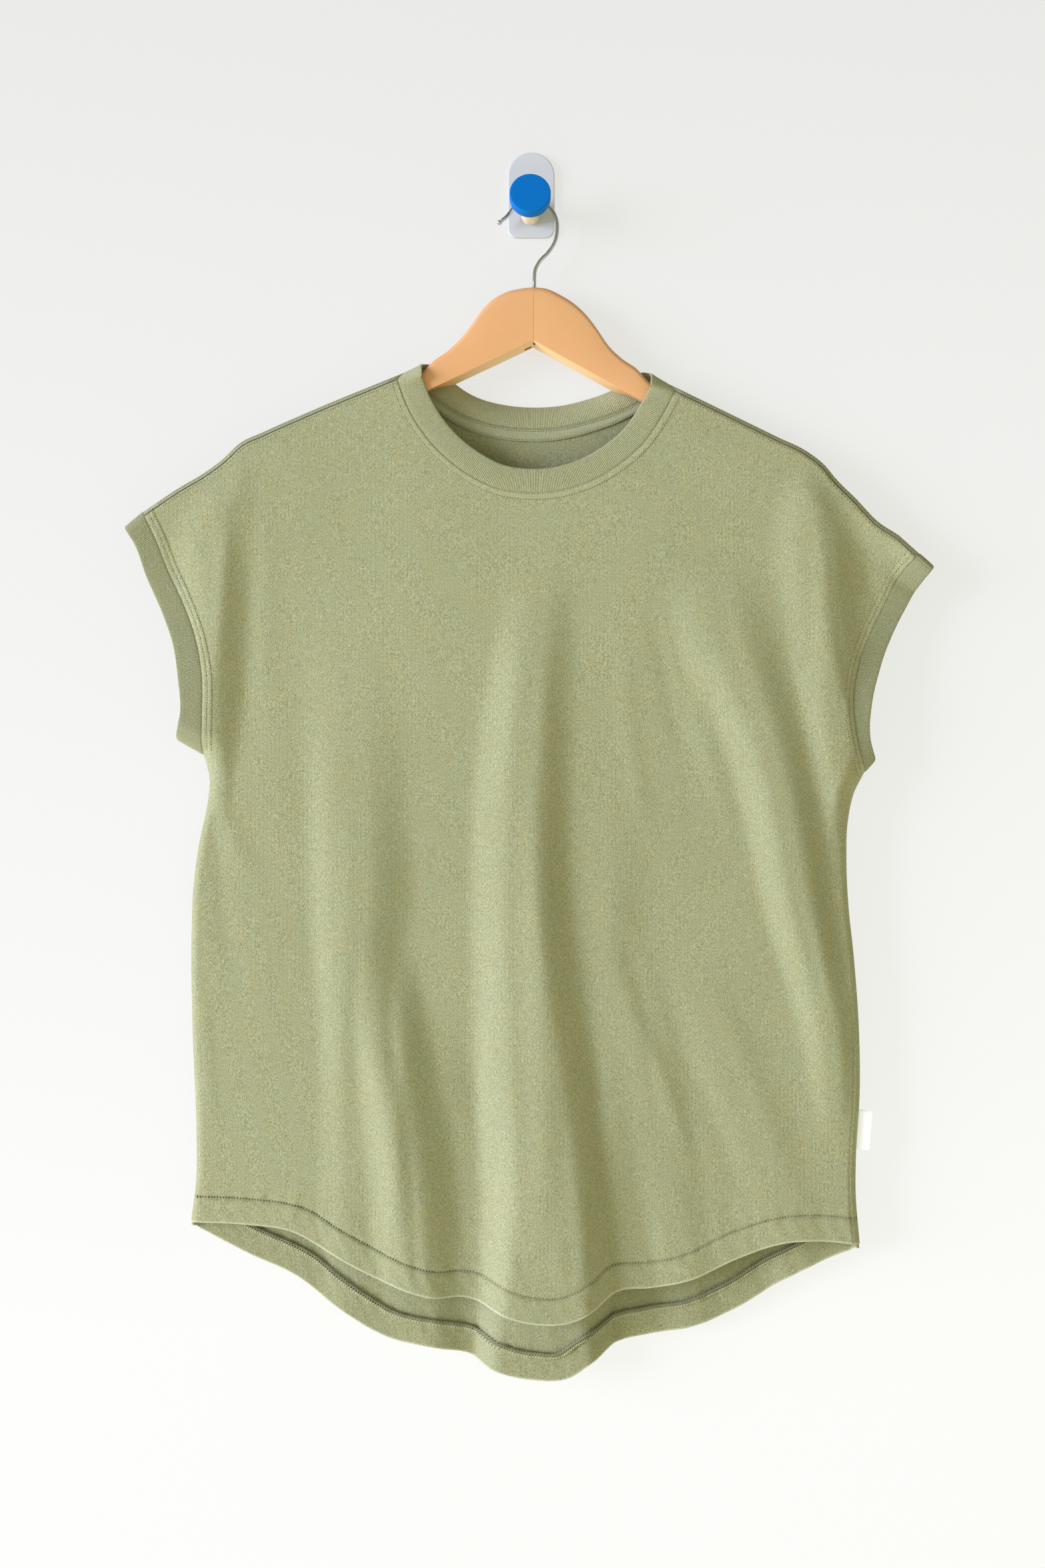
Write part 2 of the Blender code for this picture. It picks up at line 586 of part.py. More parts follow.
def cuff(name, front, back, side, armhole, finish):
    """Rib band round one armhole, from its seam to its free edge."""
    over = back[2][side + " over"]
    front_points, front_normals = seam_points(front, front[2][side])
    back_points, back_normals = seam_points(back, back[2][side][::-1] + over)
    points = np.concatenate([front_points, back_points])
    normals = np.concatenate([front_normals, back_normals])
    seam_length, seam_at = smooth_line([(row.seam_x, row.seam_z) for row in armhole])
    edge_length, edge_at = smooth_line([(row.edge_x, row.edge_z) for row in armhole])
    distances = np.linspace(0, seam_length, 400)
    on_seam = seam_at(distances)
    outward, width = [], []
    for point in points:
        nearest = np.argmin(np.hypot(*(on_seam - point[[0, 2]]).T))
        edge = edge_at(edge_length * distances[nearest] / seam_length)
        reach = edge - on_seam[nearest]
        width.append(np.hypot(*reach))
        outward.append((reach[0] / width[-1], 0.0, reach[1] / width[-1]))
    outward = np.array(outward)
    return rib_band(name, into_wall(points, normals, outward), outward, np.array(width), finish)


def neck_tape(back, finish):
    """Tape over the collar seam, on the inner face of the back panel."""
    points, faces, edges, index = back
    normals = surface_normals(points, faces)
    neck = edges["neck"][2:-2]
    first = index[0].tolist().index(neck[0])
    columns = range(first, first + len(neck))
    inside = WALL + 0.3 + TAPE_THICK
    rows = []
    for down in (1.0, 1.0 + TAPE_WIDTH / 2, 1.0 + TAPE_WIDTH):
        row = []
        for col in columns:
            line = points[index[:6, col]]
            steps = np.linalg.norm(np.diff(line, axis=0), axis=1)
            along = np.concatenate([[0], np.cumsum(steps)])
            place = np.array([np.interp(down, along, line[:, axis]) for axis in range(3)])
            row.append(place - normals[index[2, col]] * inside)
        rows.append(row)
    grid = np.array(rows)
    flat = grid.reshape(-1, 3)
    numbers = np.arange(len(flat)).reshape(grid.shape[:2])
    made = mesh_object("neck_tape", flat, grid_faces(numbers, False), finish)
    wall = made.modifiers.new("thickness", "SOLIDIFY")
    wall.thickness = TAPE_THICK * MM
    wall.offset = -1
    return made


def side_label(finish):
    """Small folded loop label that stands out of the right side seam."""
    outline = [(0, -1), (0.82, -1), (1, -0.3), (1, 0.3), (0.82, 1), (0, 1)]
    droop, swing = 1.6, 0.6
    count = len(outline)
    points, faces = [], []
    for down in (0.0, 0.5, 1.0):
        z = LABEL_TOP - down * LABEL_HEIGHT
        seam_x, seam_y = float(right_side_x(z)) + EDGE_GAP, float(middle_y(z))
        points += [(seam_x + out * (LABEL_WIDTH - swing * down), seam_y + side * LABEL_THICK / 2,
                    z - droop * out) for out, side in outline]
    for level in (0, count):
        for i in range(count):
            j = (i + 1) % count
            faces.append([level + i, level + j, level + count + j, level + count + i])
    faces += [list(range(count)), list(range(2 * count, 3 * count))]
    made = mesh_object("side_label", points, faces, finish)
    face_out(made)
    return made


def hanger_y(z):
    """Middle of the hanger at a height, in front of the wall."""
    return -HOOK_DEPTH + (z - HOOK_TOP) * tan(LEAN)


def hanger_arm(name, rows, direction, finish):
    """One arm of the hanger, lofted through sections from the joint to the tip."""
    stations = [(WOOD_MIDDLE + row.x, row.top, row.bottom, WOOD_HALF) for row in rows]
    stations[0] = (WOOD_MIDDLE + direction * JOINT_GAP / 2, *stations[0][1:])
    last_x = stations[-1][0]
    first_slope = (rows[-1].bottom - rows[-2].bottom) / (rows[-1].x - rows[-2].x)
    start_bottom = stations[-1][2]
    tip_x = WOOD_MIDDLE + direction * ARM_TIP
    shared = LEFT_COLUMNS[::-1] if direction < 0 else RIGHT_COLUMNS
    shoulder_x = tip_x - direction * 9
    under_cloth = [x for x in shared if abs(last_x) + 4 < abs(x) < abs(shoulder_x) - 4] + [shoulder_x]
    for step, x in enumerate(under_cloth, start=1):
        drop = NECK_DROP if abs(x) < 110 else TIP_DROP if x == shoulder_x else WOOD_DROP
        top = float(shoulder_height(x)) - drop * np.sqrt(1 + float(shoulder_slope(x)) ** 2)
        settle = smooth_step(step / 2)
        low = start_bottom + first_slope * (x - last_x)
        stations.append((x, top, low + (top - ARM_DEPTH - low) * settle, WOOD_HALF))
    for back_off, pinch in ((4.0, 2.4), (1.2, 5.6), (0.0, 8.6)):
        x = tip_x - direction * back_off
        level = top + float(shoulder_slope(shoulder_x)) * (x - shoulder_x)
        stations.append((x, level - pinch, level - ARM_DEPTH + pinch, WOOD_HALF - pinch * 0.35))
    corner = 5.6
    points, sections = [], []
    for x, top, bottom, half in stations:
        round_off = min(corner, half * 0.93, (top - bottom) * 0.4)
        outline = []
        for centre_y, centre_z, begin in (
                (half - round_off, top - round_off, 0), (-half + round_off, top - round_off, 90),
                (-half + round_off, bottom + round_off, 180), (half - round_off, bottom + round_off, 270)):
            for angle in (begin, begin + 45, begin + 90):
                turn = radians(angle)
                outline.append((centre_y + round_off * cos(turn), centre_z + round_off * sin(turn)))
        sections.append(range(len(points), len(points) + len(outline)))
        points += [(x, hanger_y(z) + y, z) for y, z in outline]
    faces = [list(sections[0]), list(sections[-1])]
    for here, there in zip(sections, sections[1:]):
        count = len(here)
        for i in range(count):
            j = (i + 1) % count
            faces.append([here[i], here[j], there[j], there[i]])
    made = mesh_object(name, points, faces, finish)
    face_out(made)
    return made


def hook_path():
    """Middle line of the wire, from the top of the wood, over the peg, to its tip."""
    centre = Point(0.3, HOOK_TOP - HOOK_RADIUS)
    stem = [(2.4, -76.2), (2.4, -69.5), (3.0, -63), (6.5, -56), (13.5, -48.5), (18.6, -40), (20.4, -31)]
    bend = [(centre.x + HOOK_RADIUS * cos(radians(angle)), centre.z + HOOK_RADIUS * sin(radians(angle)))
            for angle in range(15, 151, 15)]
    tail = [(-19.8, -20.4), (-23.2, -23.3)]
    length, along = smooth_line(stem + bend + tail)
    return along(np.linspace(0, length, 44))


def wire_hook(finish):
    path = hook_path()
    curve = bpy.data.curves.new("hook", "CURVE")
    curve.dimensions = "3D"
    curve.bevel_depth = WIRE / 2 * MM
    curve.bevel_resolution = 2
    curve.use_fill_caps = True
    spline = curve.splines.new("POLY")
    spline.points.add(len(path) - 1)
    for point, (x, z) in zip(spline.points, path):
        point.co = (x * MM, hanger_y(z) * MM, z * MM, 1.0)
    curve.materials.append(finish)
    made = bpy.data.objects.new("hook", curve)
    shirt.objects.link(made)
    return path[-1] - path[-2], path[-1]


def hook_tip(direction, end, finish):
    """Ball that finishes the wire."""
    away = direction / np.hypot(*direction)
    x, z = end + away * (TIP_RADIUS + SEAT_GAP)
    bm = bmesh.new()
    bmesh.ops.create_uvsphere(bm, u_segments=12, v_segments=8, radius=TIP_RADIUS * MM)
    bmesh.ops.translate(bm, verts=bm.verts, vec=Vector((x, hanger_y(z), z)) * MM)
    return bmesh_object("hook_tip", bm, finish)


def wall_plate(finish):
    """Plate with a round top and soft lower corners, flat against the wall."""
    half = PLATE_WIDTH / 2
    outline = [(half * cos(radians(angle)), PLATE_TOP - half + half * sin(radians(angle)))
               for angle in range(0, 181, 12)]
    for centre, begin in ((-half + PLATE_CORNER, 180), (half - PLATE_CORNER, 270)):
        outline += [(centre + PLATE_CORNER * cos(radians(angle)),
                     PLATE_BOTTOM + PLATE_CORNER + PLATE_CORNER * sin(radians(angle)))
                    for angle in range(begin, begin + 91, 18)]
    curve = bpy.data.curves.new("wall_plate", "CURVE")
    curve.dimensions = "2D"
    curve.fill_mode = "BOTH"
    curve.extrude = (PLATE_THICK / 2 - PLATE_EDGE) * MM
    curve.bevel_depth = PLATE_EDGE * MM
    curve.bevel_resolution = 1
    curve.offset = -PLATE_EDGE * MM
    spline = curve.splines.new("POLY")
    spline.points.add(len(outline) - 1)
    for point, (x, z) in zip(spline.points, outline):
        point.co = (x * MM, z * MM, 0.0, 1.0)
    spline.use_cyclic_u = True
    curve.materials.append(finish)
    made = bpy.data.objects.new("wall_plate", curve)
    made.location = (0.0, -PLATE_THICK / 2 * MM, 0.0)
    made.rotation_euler = (radians(90), 0.0, 0.0)
    shirt.objects.link(made)
    return made


def on_peg_axis(made, reach):
    """Place a piece on the peg's axis, which tilts up from the plate, at a reach along it."""
    shift = PEG_RADIUS * sin(PEG_TILT)
    foot = Vector((PEG_X, -PLATE_THICK - SEAT_GAP - shift, PEG_HEIGHT))
    axis = Vector((0.0, -cos(PEG_TILT), sin(PEG_TILT)))
    made.location = (foot + axis * reach) * MM
    made.rotation_euler = (radians(90) - PEG_TILT, 0.0, 0.0)


def peg(finish):
    bm = bmesh.new()
    bmesh.ops.create_cone(bm, cap_ends=True, segments=20, radius1=PEG_RADIUS * MM,
                          radius2=PEG_RADIUS * MM, depth=PEG_LENGTH * MM)
    made = bmesh_object("peg", bm, finish)
    on_peg_axis(made, PEG_LENGTH / 2)
    return made


def knob(finish):
    """Flat round knob on the peg's end: its profile runs down from the middle of its face."""
    rim, top = KNOB_RADIUS, KNOB_THICK
    profile = [(0, top), (rim - 7, top), (rim - 3.6, top - 0.2), (rim - 1.1, top - 1.1),
               (rim, top - 3.2), (rim, 2.8), (rim - 1.2, 0.9), (rim - 3.2, 0), (0, 0)]
    mesh = bpy.data.meshes.new("knob")
    edges = [(i, i + 1) for i in range(len(profile) - 1)]
    mesh.from_pydata([Vector((radius, 0, along)) * MM for radius, along in profile], edges, [])
    mesh.materials.append(finish)
    made = bpy.data.objects.new("knob", mesh)
    shirt.objects.link(made)
    turn = made.modifiers.new("turn", "SCREW")
    turn.steps = 28
    turn.render_steps = 28
    turn.use_merge_vertices = True
    turn.merge_threshold = 0.00001
    turn.use_smooth_shade = True
    on_peg_axis(made, PEG_LENGTH + SEAT_GAP)
    return made


clear_scene()
shirt = collection_named("t_shirt_on_hanger")
jersey = material("jersey", (0.42, 0.42, 0.22), 0.9)
rib = material("rib", (0.38, 0.38, 0.21), 0.9)
tape = material("tape", (0.32, 0.33, 0.18), 0.9)
label_cloth = material("label_cloth", (0.94, 0.94, 0.93), 0.7)
wood = material("wood", (0.80, 0.46, 0.21), 0.45)
chrome = material("chrome", (0.75, 0.75, 0.73), 0.15, 1.0)
plate_paint = material("plate_paint", (0.63, 0.65, 0.67), 0.5)
peg_wood = material("peg_wood", (0.70, 0.54, 0.38), 0.5)
knob_paint = material("knob_paint", (0.0, 0.17, 0.54), 0.35)

front_surface = panel_surface("front")
back_surface = panel_surface("back")
cloth_panel("front", front_surface, jersey)
cloth_panel("back", back_surface, jersey)
collar(front_surface, back_surface, rib)
cuff("cuff_left", front_surface, back_surface, "left", LEFT_ARMHOLE, rib)
cuff("cuff_right", front_surface, back_surface, "right", RIGHT_ARMHOLE, rib)
neck_tape(back_surface, tape)
side_label(label_cloth)
hanger_arm("arm_left", LEFT_ARM, -1, wood)
hanger_arm("arm_right", RIGHT_ARM, 1, wood)
wire_direction, wire_end = wire_hook(chrome)
hook_tip(wire_direction, wire_end, chrome)
wall_plate(plate_paint)
peg(peg_wood)
knob(knob_paint)
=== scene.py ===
# %% [markdown]
# A t-shirt on a wooden hanger, hung from a wall peg.
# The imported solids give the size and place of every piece. This file dresses them: each cloth piece is
# made again as a fine shell on the same form, with its creases, rib, seams and stitches, and the
# hanger, its hook and the wall peg get their finish. Everything is in metres, with the wall at y = 0.

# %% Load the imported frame
from collections import namedtuple
from math import cos, pi, radians, sin, tan

import bpy
import bmesh
import numpy as np
from mathutils import Matrix, Vector
from mathutils.bvhtree import BVHTree


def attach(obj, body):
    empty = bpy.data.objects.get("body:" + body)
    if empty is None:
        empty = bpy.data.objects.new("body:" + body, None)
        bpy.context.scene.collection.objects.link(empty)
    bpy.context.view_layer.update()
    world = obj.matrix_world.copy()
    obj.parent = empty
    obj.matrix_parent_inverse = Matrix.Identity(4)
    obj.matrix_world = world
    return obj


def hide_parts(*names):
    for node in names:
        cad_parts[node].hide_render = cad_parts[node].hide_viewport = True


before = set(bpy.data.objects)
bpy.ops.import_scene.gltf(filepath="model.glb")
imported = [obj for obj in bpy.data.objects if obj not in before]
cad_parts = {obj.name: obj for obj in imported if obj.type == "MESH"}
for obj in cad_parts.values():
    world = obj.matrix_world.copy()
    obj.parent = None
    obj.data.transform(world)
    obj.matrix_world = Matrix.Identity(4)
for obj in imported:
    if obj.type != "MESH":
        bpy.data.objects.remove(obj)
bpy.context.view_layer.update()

MM = 0.001
scene = bpy.context.scene
print("nodes:", sorted(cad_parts))

# %% [markdown]
# The camera comes first, because it settles what a viewer can see. It stands level, 1.5 m from the
# wall and near the middle of the shirt, so it looks a little up at the hanger and down at the hem.
# A longer lens further off would flatten the view; this distance shows the hanger's underside and
# the inside of the back hem, as the photograph does.

# %% Camera
FRAME_HEIGHT = 2353              # pixels
FOCAL_PIXELS = 2836.5
SENSOR = 24.0                    # millimetres, upright
CAMERA_PLACE = (-6.9, -1500.0, -466.5)

camera_data = bpy.data.cameras.new("camera")
camera_data.sensor_fit = "VERTICAL"
camera_data.sensor_height = SENSOR
camera_data.lens = SENSOR * FOCAL_PIXELS / FRAME_HEIGHT
camera = bpy.data.objects.new("camera", camera_data)
camera.location = Vector(CAMERA_PLACE) * MM
camera.rotation_euler = (radians(90), 0, 0)
scene.collection.objects.link(camera)
scene.camera = camera
print(f"lens {camera_data.lens:.2f} mm")

# %% [markdown]
# Small helpers build every material from nodes. A finish on the real object is never one flat colour:
# cloth is flecked and mottled, wood has grain, and painted wood has a soft sheen. A helper that adds a
# node and links it in one line keeps each material short enough to read.

# %% Material helpers
def colour(red, green, blue):
    """A screen colour, 0 to 255, as the linear values that a shader takes."""
    def linear(value):
        value /= 255
        return value / 12.92 if value <= 0.04045 else ((value + 0.055) / 1.055) ** 2.4
    return (linear(red), linear(green), linear(blue), 1.0)


class Nodes:
    """The node tree of a new material, with its shader."""

    def __init__(self, name, roughness=0.5, metallic=0.0):
        self.material = bpy.data.materials.new(name)
        self.material.use_nodes = True
        self.tree = self.material.node_tree
        self.shader = self.tree.nodes["Principled BSDF"]
        self.shader.inputs["Roughness"].default_value = roughness
        self.shader.inputs["Metallic"].default_value = metallic

    def add(self, kind, inputs=(), **settings):
        """A node with its settings, and its inputs set to a value or linked to a socket."""
        made = self.tree.nodes.new(kind)
        for name, value in settings.items():
            setattr(made, name, value)
        for name, value in dict(inputs).items():
            self.give(made.inputs[name], value)
        return made

    def give(self, socket, value):
        if isinstance(value, bpy.types.NodeSocket):
            self.tree.links.new(value, socket)
        else:
            socket.default_value = value

    def place(self, scale=(1, 1, 1), turn=(0, 0, 0)):
        """The object's own coordinates, in metres, stretched and turned."""
        coordinates = self.add("ShaderNodeTexCoord")
        return self.add("ShaderNodeMapping", {
            "Vector": coordinates.outputs["Object"], "Scale": scale, "Rotation": turn}).outputs[0]

    def stretch(self, where, scale):
        """Coordinates that have been turned, stretched along their new directions."""
        return self.add("ShaderNodeMapping", {"Vector": where, "Scale": scale}).outputs[0]

    def noise(self, where, scale, detail=2.0, roughness=0.5):
        return self.add("ShaderNodeTexNoise", {
            "Vector": where, "Scale": scale, "Detail": detail, "Roughness": roughness}).outputs["Fac"]

    def spread(self, value, low, high, to_low=0.0, to_high=1.0):
        """A value moved from one range to another, and held inside it."""
        ranges = {"From Min": low, "From Max": high, "To Min": to_low, "To Max": to_high}
        return self.add("ShaderNodeMapRange", {"Value": value, **ranges}).outputs[0]

    def maths(self, how, first, second):
        return self.add("ShaderNodeMath", {0: first, 1: second}, operation=how).outputs[0]

    def mix(self, share, first, second, how="MIX"):
        made = self.add("ShaderNodeMix", data_type="RGBA", blend_type=how)
        self.give(made.inputs[0], share)
        self.give(made.inputs[6], first)
        self.give(made.inputs[7], second)
        return made.outputs[2]

    def bump(self, height, distance, strength=1.0):
        made = self.add("ShaderNodeBump", {"Height": height, "Distance": distance, "Strength": strength})
        self.give(self.shader.inputs["Normal"], made.outputs[0])

    def finish(self, name, value):
        self.give(self.shader.inputs[name], value)


# %% [markdown]
# The cloth is cotton jersey, dyed as a finished garment, so it is flecked with lighter and darker
# yarns and mottled over a hand's width. A point attribute, tone, carries painted light and
# shade: each cloth mesh stores how much lighter or darker it is painted at each point, with painted
# shade in seam dips, rib grooves and inside the shirt and a painted highlight on seam ridges and along
# the hem's fold, and the shader mixes it in. Fine columns of knit stitches are bump, because they are
# under a millimetre wide.

# %% Cloth materials
WALE = 1900.0                    # rows of stitches, as a scale of the wave texture


def cloth_material(name, base, dark, light):
    nodes = Nodes(name, roughness=0.93)
    along = nodes.place(scale=(1, 1, 0.6))
    fleck = nodes.noise(along, 1500, detail=2, roughness=0.8)
    coarse = nodes.noise(along, 330, detail=2, roughness=0.6)
    cloud = nodes.noise(nodes.place(scale=(1, 1, 0.55)), 11, detail=3, roughness=0.6)
    shade = nodes.mix(nodes.spread(fleck, 0.38, 0.62), dark, light)
    shade = nodes.mix(nodes.spread(coarse, 0.36, 0.64, 0.05, 0.25), shade, base)
    shade = nodes.mix(nodes.spread(cloud, 0.35, 0.65, 0.0, 0.16), shade, dark)
    yarn = nodes.noise(nodes.place(scale=(1, 1, 0.6)), 60, detail=5, roughness=0.7)
    tint = nodes.mix(nodes.spread(yarn, 0.35, 0.65), (0.972, 1.008, 1.02, 1), (1.028, 0.996, 0.94, 1))
    shade = nodes.mix(1.0, shade, tint, "MULTIPLY")
    # painted shading: towards painted shade in dips, grooves and inside, towards a painted highlight on
    # ridges and the hem's fold
    tone = nodes.add("ShaderNodeAttribute", attribute_name="tone").outputs["Fac"]
    shade = nodes.mix(nodes.spread(tone, 0, -1), shade, tuple(v * 0.32 for v in dark[:3]) + (1,))
    shade = nodes.mix(nodes.spread(tone, 0, 1), shade, tuple(min(v * 1.9, 0.9) for v in light[:3]) + (1,))
    nodes.finish("Base Color", shade)
    nodes.finish("Sheen Weight", 0.18)
    nodes.finish("Sheen Roughness", 0.6)
    nodes.finish("Specular IOR Level", 0.2)
    wales = nodes.add("ShaderNodeTexWave", {
        "Vector": nodes.place(), "Scale": WALE / (2 * pi), "Distortion": 1.2, "Detail": 1.0,
        "Detail Scale": 3.0}, wave_type="BANDS", bands_direction="X").outputs["Fac"]
    height = nodes.maths("ADD", nodes.maths("MULTIPLY", wales, 0.2), fleck)
    nodes.bump(height, 0.0006, 0.8)
    return nodes.material


jersey = cloth_material("jersey", colour(171, 171, 129), colour(141, 141, 98), colour(201, 201, 161))
rib = cloth_material("rib", colour(172, 173, 132), colour(153, 154, 112), colour(192, 192, 153))
tape_cloth = cloth_material(
    "tape_cloth", colour(166, 167, 132), colour(150, 150, 116), colour(184, 185, 150))
print("cloth materials:", jersey.name, rib.name, tape_cloth.name)


# %% [markdown]
# Thread is the same cotton, a shade lighter than the cloth and smoother. Needle holes and the gaps of
# the hem's ladder stitch look dark, because they open into the fold behind; that dark is painted
# shade, on small dark bars laid on the cloth.

# %% Thread materials
def plain_material(name, base, roughness):
    nodes = Nodes(name, roughness)
    grain = nodes.noise(nodes.place(), 900, detail=2)
    nodes.finish("Base Color", nodes.mix(nodes.spread(grain, 0.3, 0.7, 0.0, 0.25), base,
                                         tuple(v * 0.7 for v in base[:3]) + (1,)))
    return nodes.material


thread = plain_material("thread", colour(184, 184, 143), 0.75)
chain_thread = plain_material("chain_thread", colour(190, 189, 150), 0.8)
loop_thread = plain_material("loop_thread", colour(156, 155, 120), 0.85)
# painted shade: a dark colour for needle holes and hem slots, where they open into the fold behind
painted_hole_shade = plain_material("painted_hole_shade", colour(84, 83, 52), 0.95)
print("threads and holes ready")

# %% [markdown]
# The shirt's cut is kept in short tables, in millimetres: the top line over the hanger, the armhole
# seams, the side seams, the two necklines and the shirt-tail hem. The solids were made from the same
# tables, so the fine cloth has their outline. Reading the surface back from the solids would give
# their facets; the tables give the smooth form behind them.

# %% Outline of the shirt
Point = namedtuple("Point", "x z")
Armhole = namedtuple("Armhole", "seam_x seam_z edge_x edge_z")
Hem = namedtuple("Hem", "x front back")
Hang = namedtuple("Hang", "z middle front_out back_out")
Fold = namedtuple("Fold", "z x flat slope front back")
Fall = namedtuple("Fall", "z x fall")
Arm = namedtuple("Arm", "x top bottom")
Crease = namedtuple("Crease", "x0 z0 x1 z1 bow wide rise")


def rows_of(kind, rows):
    return [kind(*row) for row in rows]


LEFT_SHOULDER = rows_of(Point, [
    (-302.5, -254.0), (-277, -236.6), (-253, -222), (-239.5, -211.5), (-230, -202), (-209, -191.2),
    (-182, -179), (-151, -165.6), (-126, -155.3), (-105.5, -146.9), (-86.2, -139.6)])
RIGHT_SHOULDER = rows_of(Point, [
    (93.3, -146.9), (113.4, -156.3), (132.4, -165.7), (164.2, -181.4), (192, -195.2), (216.5, -207.5),
    (229, -217.5), (238, -228.5), (253.5, -244), (269, -260.5), (290, -275), (302.4, -286.5)])
LEFT_ARMHOLE = rows_of(Armhole, [
    (-302.5, -254.0, -317.2, -266.4), (-291.5, -277.0, -308.5, -280.0), (-282.5, -300.0, -299.0, -306.0),
    (-270.5, -326.0, -287.2, -332.5), (-260.5, -353.0, -278.0, -358.0), (-255.0, -383.0, -273.6, -386.0),
    (-255.0, -413.0, -272.2, -411.0), (-256.0, -443.0, -277.0, -431.0)])
RIGHT_ARMHOLE = rows_of(Armhole, [
    (302.4, -286.5, 314.0, -297.0), (288.5, -302.0, 302.5, -312.0), (278.0, -322.0, 292.0, -330.0),
    (265.5, -347.0, 281.0, -352.0), (255.5, -372.0, 271.5, -377.0), (250.0, -401.0, 264.5, -404.0),
    (252.5, -428.0, 263.4, -430.0), (260.3, -457.0, 268.4, -448.0)])
LEFT_SIDE = rows_of(Point, [
    (-256, -443), (-251.4, -462), (-253, -482), (-258.6, -508), (-264, -545), (-265.7, -585),
    (-264.9, -660), (-262, -740), (-262.4, -778), (-266.3, -808)])
RIGHT_SIDE = rows_of(Point, [
    (260.3, -457), (252, -473.5), (247.4, -495), (246.3, -526), (247.8, -560), (252, -600),
    (256.5, -665), (256.8, -710), (254.3, -750), (253.8, -786), (257, -826)])
FRONT_NECK = rows_of(Point, [
    (-104.4, -151.0), (-98.2, -169), (-86.5, -190.3), (-69, -211), (-49.8, -226), (-28, -237),
    (-3, -241.2), (19.7, -239.9), (43.5, -233), (67, -219.7), (87, -202), (101, -181.5), (111.8, -160.6)])
BACK_NECK = rows_of(Point, [
    (-97.5, -143.9), (-86.5, -153), (-76.2, -161.9), (-60.3, -172.9), (-44.1, -180.2), (-22, -185.5),
    (4.1, -187.4), (28, -185.5), (52.1, -179.4), (68, -174), (83.5, -166.5), (95, -158.5), (105, -152.4)])
HEM = rows_of(Hem, [
    (-266.3, -808, -812), (-222, -809.6, -835.5), (-184, -815.8, -853.5), (-155, -832, -875.3),
    (-115, -852, -899.3), (-75, -864.2, -908.8), (-49, -865.6, -914.5), (-30, -872.5, -922.7),
    (0, -881, -929.5), (31, -879.8, -927.4), (50, -871, -914.5), (68, -860.6, -905), (93, -858.2, -899),
    (125, -851.3, -893), (164, -834.4, -877), (196, -824, -857), (226, -822.6, -842), (257, -826, -830)])

# %% [markdown]
# The cloth hangs from the hanger in soft columns. Each large fold is a ridge that runs down the shirt:
# the table gives, at a few heights, where its crest is, how wide it is and how far the front and the
# back stand out in it. The solids have the same folds, but here some are wider, softer or a little
# further along, to fit the shading, and on the right cap sleeve the front also falls back past a crisp
# line. Cloth simulation would find folds of its own, in other places, so they are listed.

# %% Hang and large folds
HANG = rows_of(Hang, [
    (-130, -18.4, 0, 0), (-180, -21.1, 2, 0), (-230, -23.7, 4, 1), (-300, -24.2, 5, 2),
    (-450, -22.5, 6, 3), (-620, -21.0, 5, 3), (-930, -19.5, 4, 3)])
FOLDS = {
    "left arm end": rows_of(Fold, [
        (-205, -231, 2, 16, 0, 0), (-250, -242, 3, 30, 3.5, 2), (-350, -248, 3, 27, 6.5, 3),
        (-430, -250, 3, 21, 6.5, 2), (-500, -250, 2, 15, 0, 0)]),
    "left": rows_of(Fold, [
        (-330, -140, 4, 34, 0, 0), (-450, -136, 6, 36, 3.2, 3), (-555, -133, 6, 38, 8, 5),
        (-660, -137, 6, 25, 6.5, 4), (-715, -131, 12, 25, 5, 4), (-920, -129, 14, 26, 4, 5)]),
    "left inner": rows_of(Fold, [
        (-590, -112, 3, 22, 0, 0), (-660, -108, 4, 28, 9, 4), (-715, -101, 4, 31, 11, 5),
        (-920, -80, 4, 29, 9, 7)]),
    "middle": rows_of(Fold, [
        (-300, 8, 4, 26, 0, 0), (-400, -2, 8, 30, 8, 4), (-555, -8, 9, 33, 12, 9),
        (-690, 4, 17, 33, 15, 13), (-790, 12, 21, 33, 18, 17), (-930, 9, 36, 19, 20, 20)]),
    "right": rows_of(Fold, [
        (-290, 140, 6, 36, 0, 0), (-348, 150, 8, 36, 6, 3), (-453, 186, 6, 30, 9, 4),
        (-557, 206, 5, 26, 10, 4), (-661, 231, 4, 22, 6, 3), (-745, 240, 3, 16, 0, 0)]),
    "right arm end": rows_of(Fold, [
        (-215, 222, 2, 14, 0, 0), (-250, 221, 3, 32, 5, 2), (-348, 228, 3, 30, 7, 3),
        (-453, 239, 4, 23, 6, 2), (-530, 248, 2, 14, 3, 1), (-590, 250, 2, 12, 0, 0)]),
    "lower right": rows_of(Fold, [
        (-600, 80, 3, 20, 0, 0), (-661, 89, 4, 24, 3, 2), (-766, 104, 4, 25, 2.8, 3),
        (-920, 134, 4, 20, 3, 3)]),
    "outer lower right": rows_of(Fold, [
        (-600, 122, 3, 24, 0, 0), (-661, 146, 5, 28, 1.2, 2), (-766, 186, 6, 28, 1.2, 3),
        (-920, 226, 4, 18, 3, 3)]),
}
# Right of this line the front falls back, under the end of the hanger.
CAP_FALLS = rows_of(Fall, [
    (-228, 212, 0), (-262, 221, 6), (-361, 233, 8.5), (-425, 247, 8), (-480, 255, 3), (-560, 262, 0)])
FALL_REACH = 25.0
print(len(FOLDS), "large folds")

# %% [markdown]
# Finer creases come on top of the large folds: drag lines that fan from the hanger's ends and from the
# underarms, the pulls above the hem, and the faint square marks of packing. Each is a short line with
# a rise, a width and two soft ends. A rise under zero is a trough. The back has marks of the same
# kinds, none in the same place, because the same hands folded it.

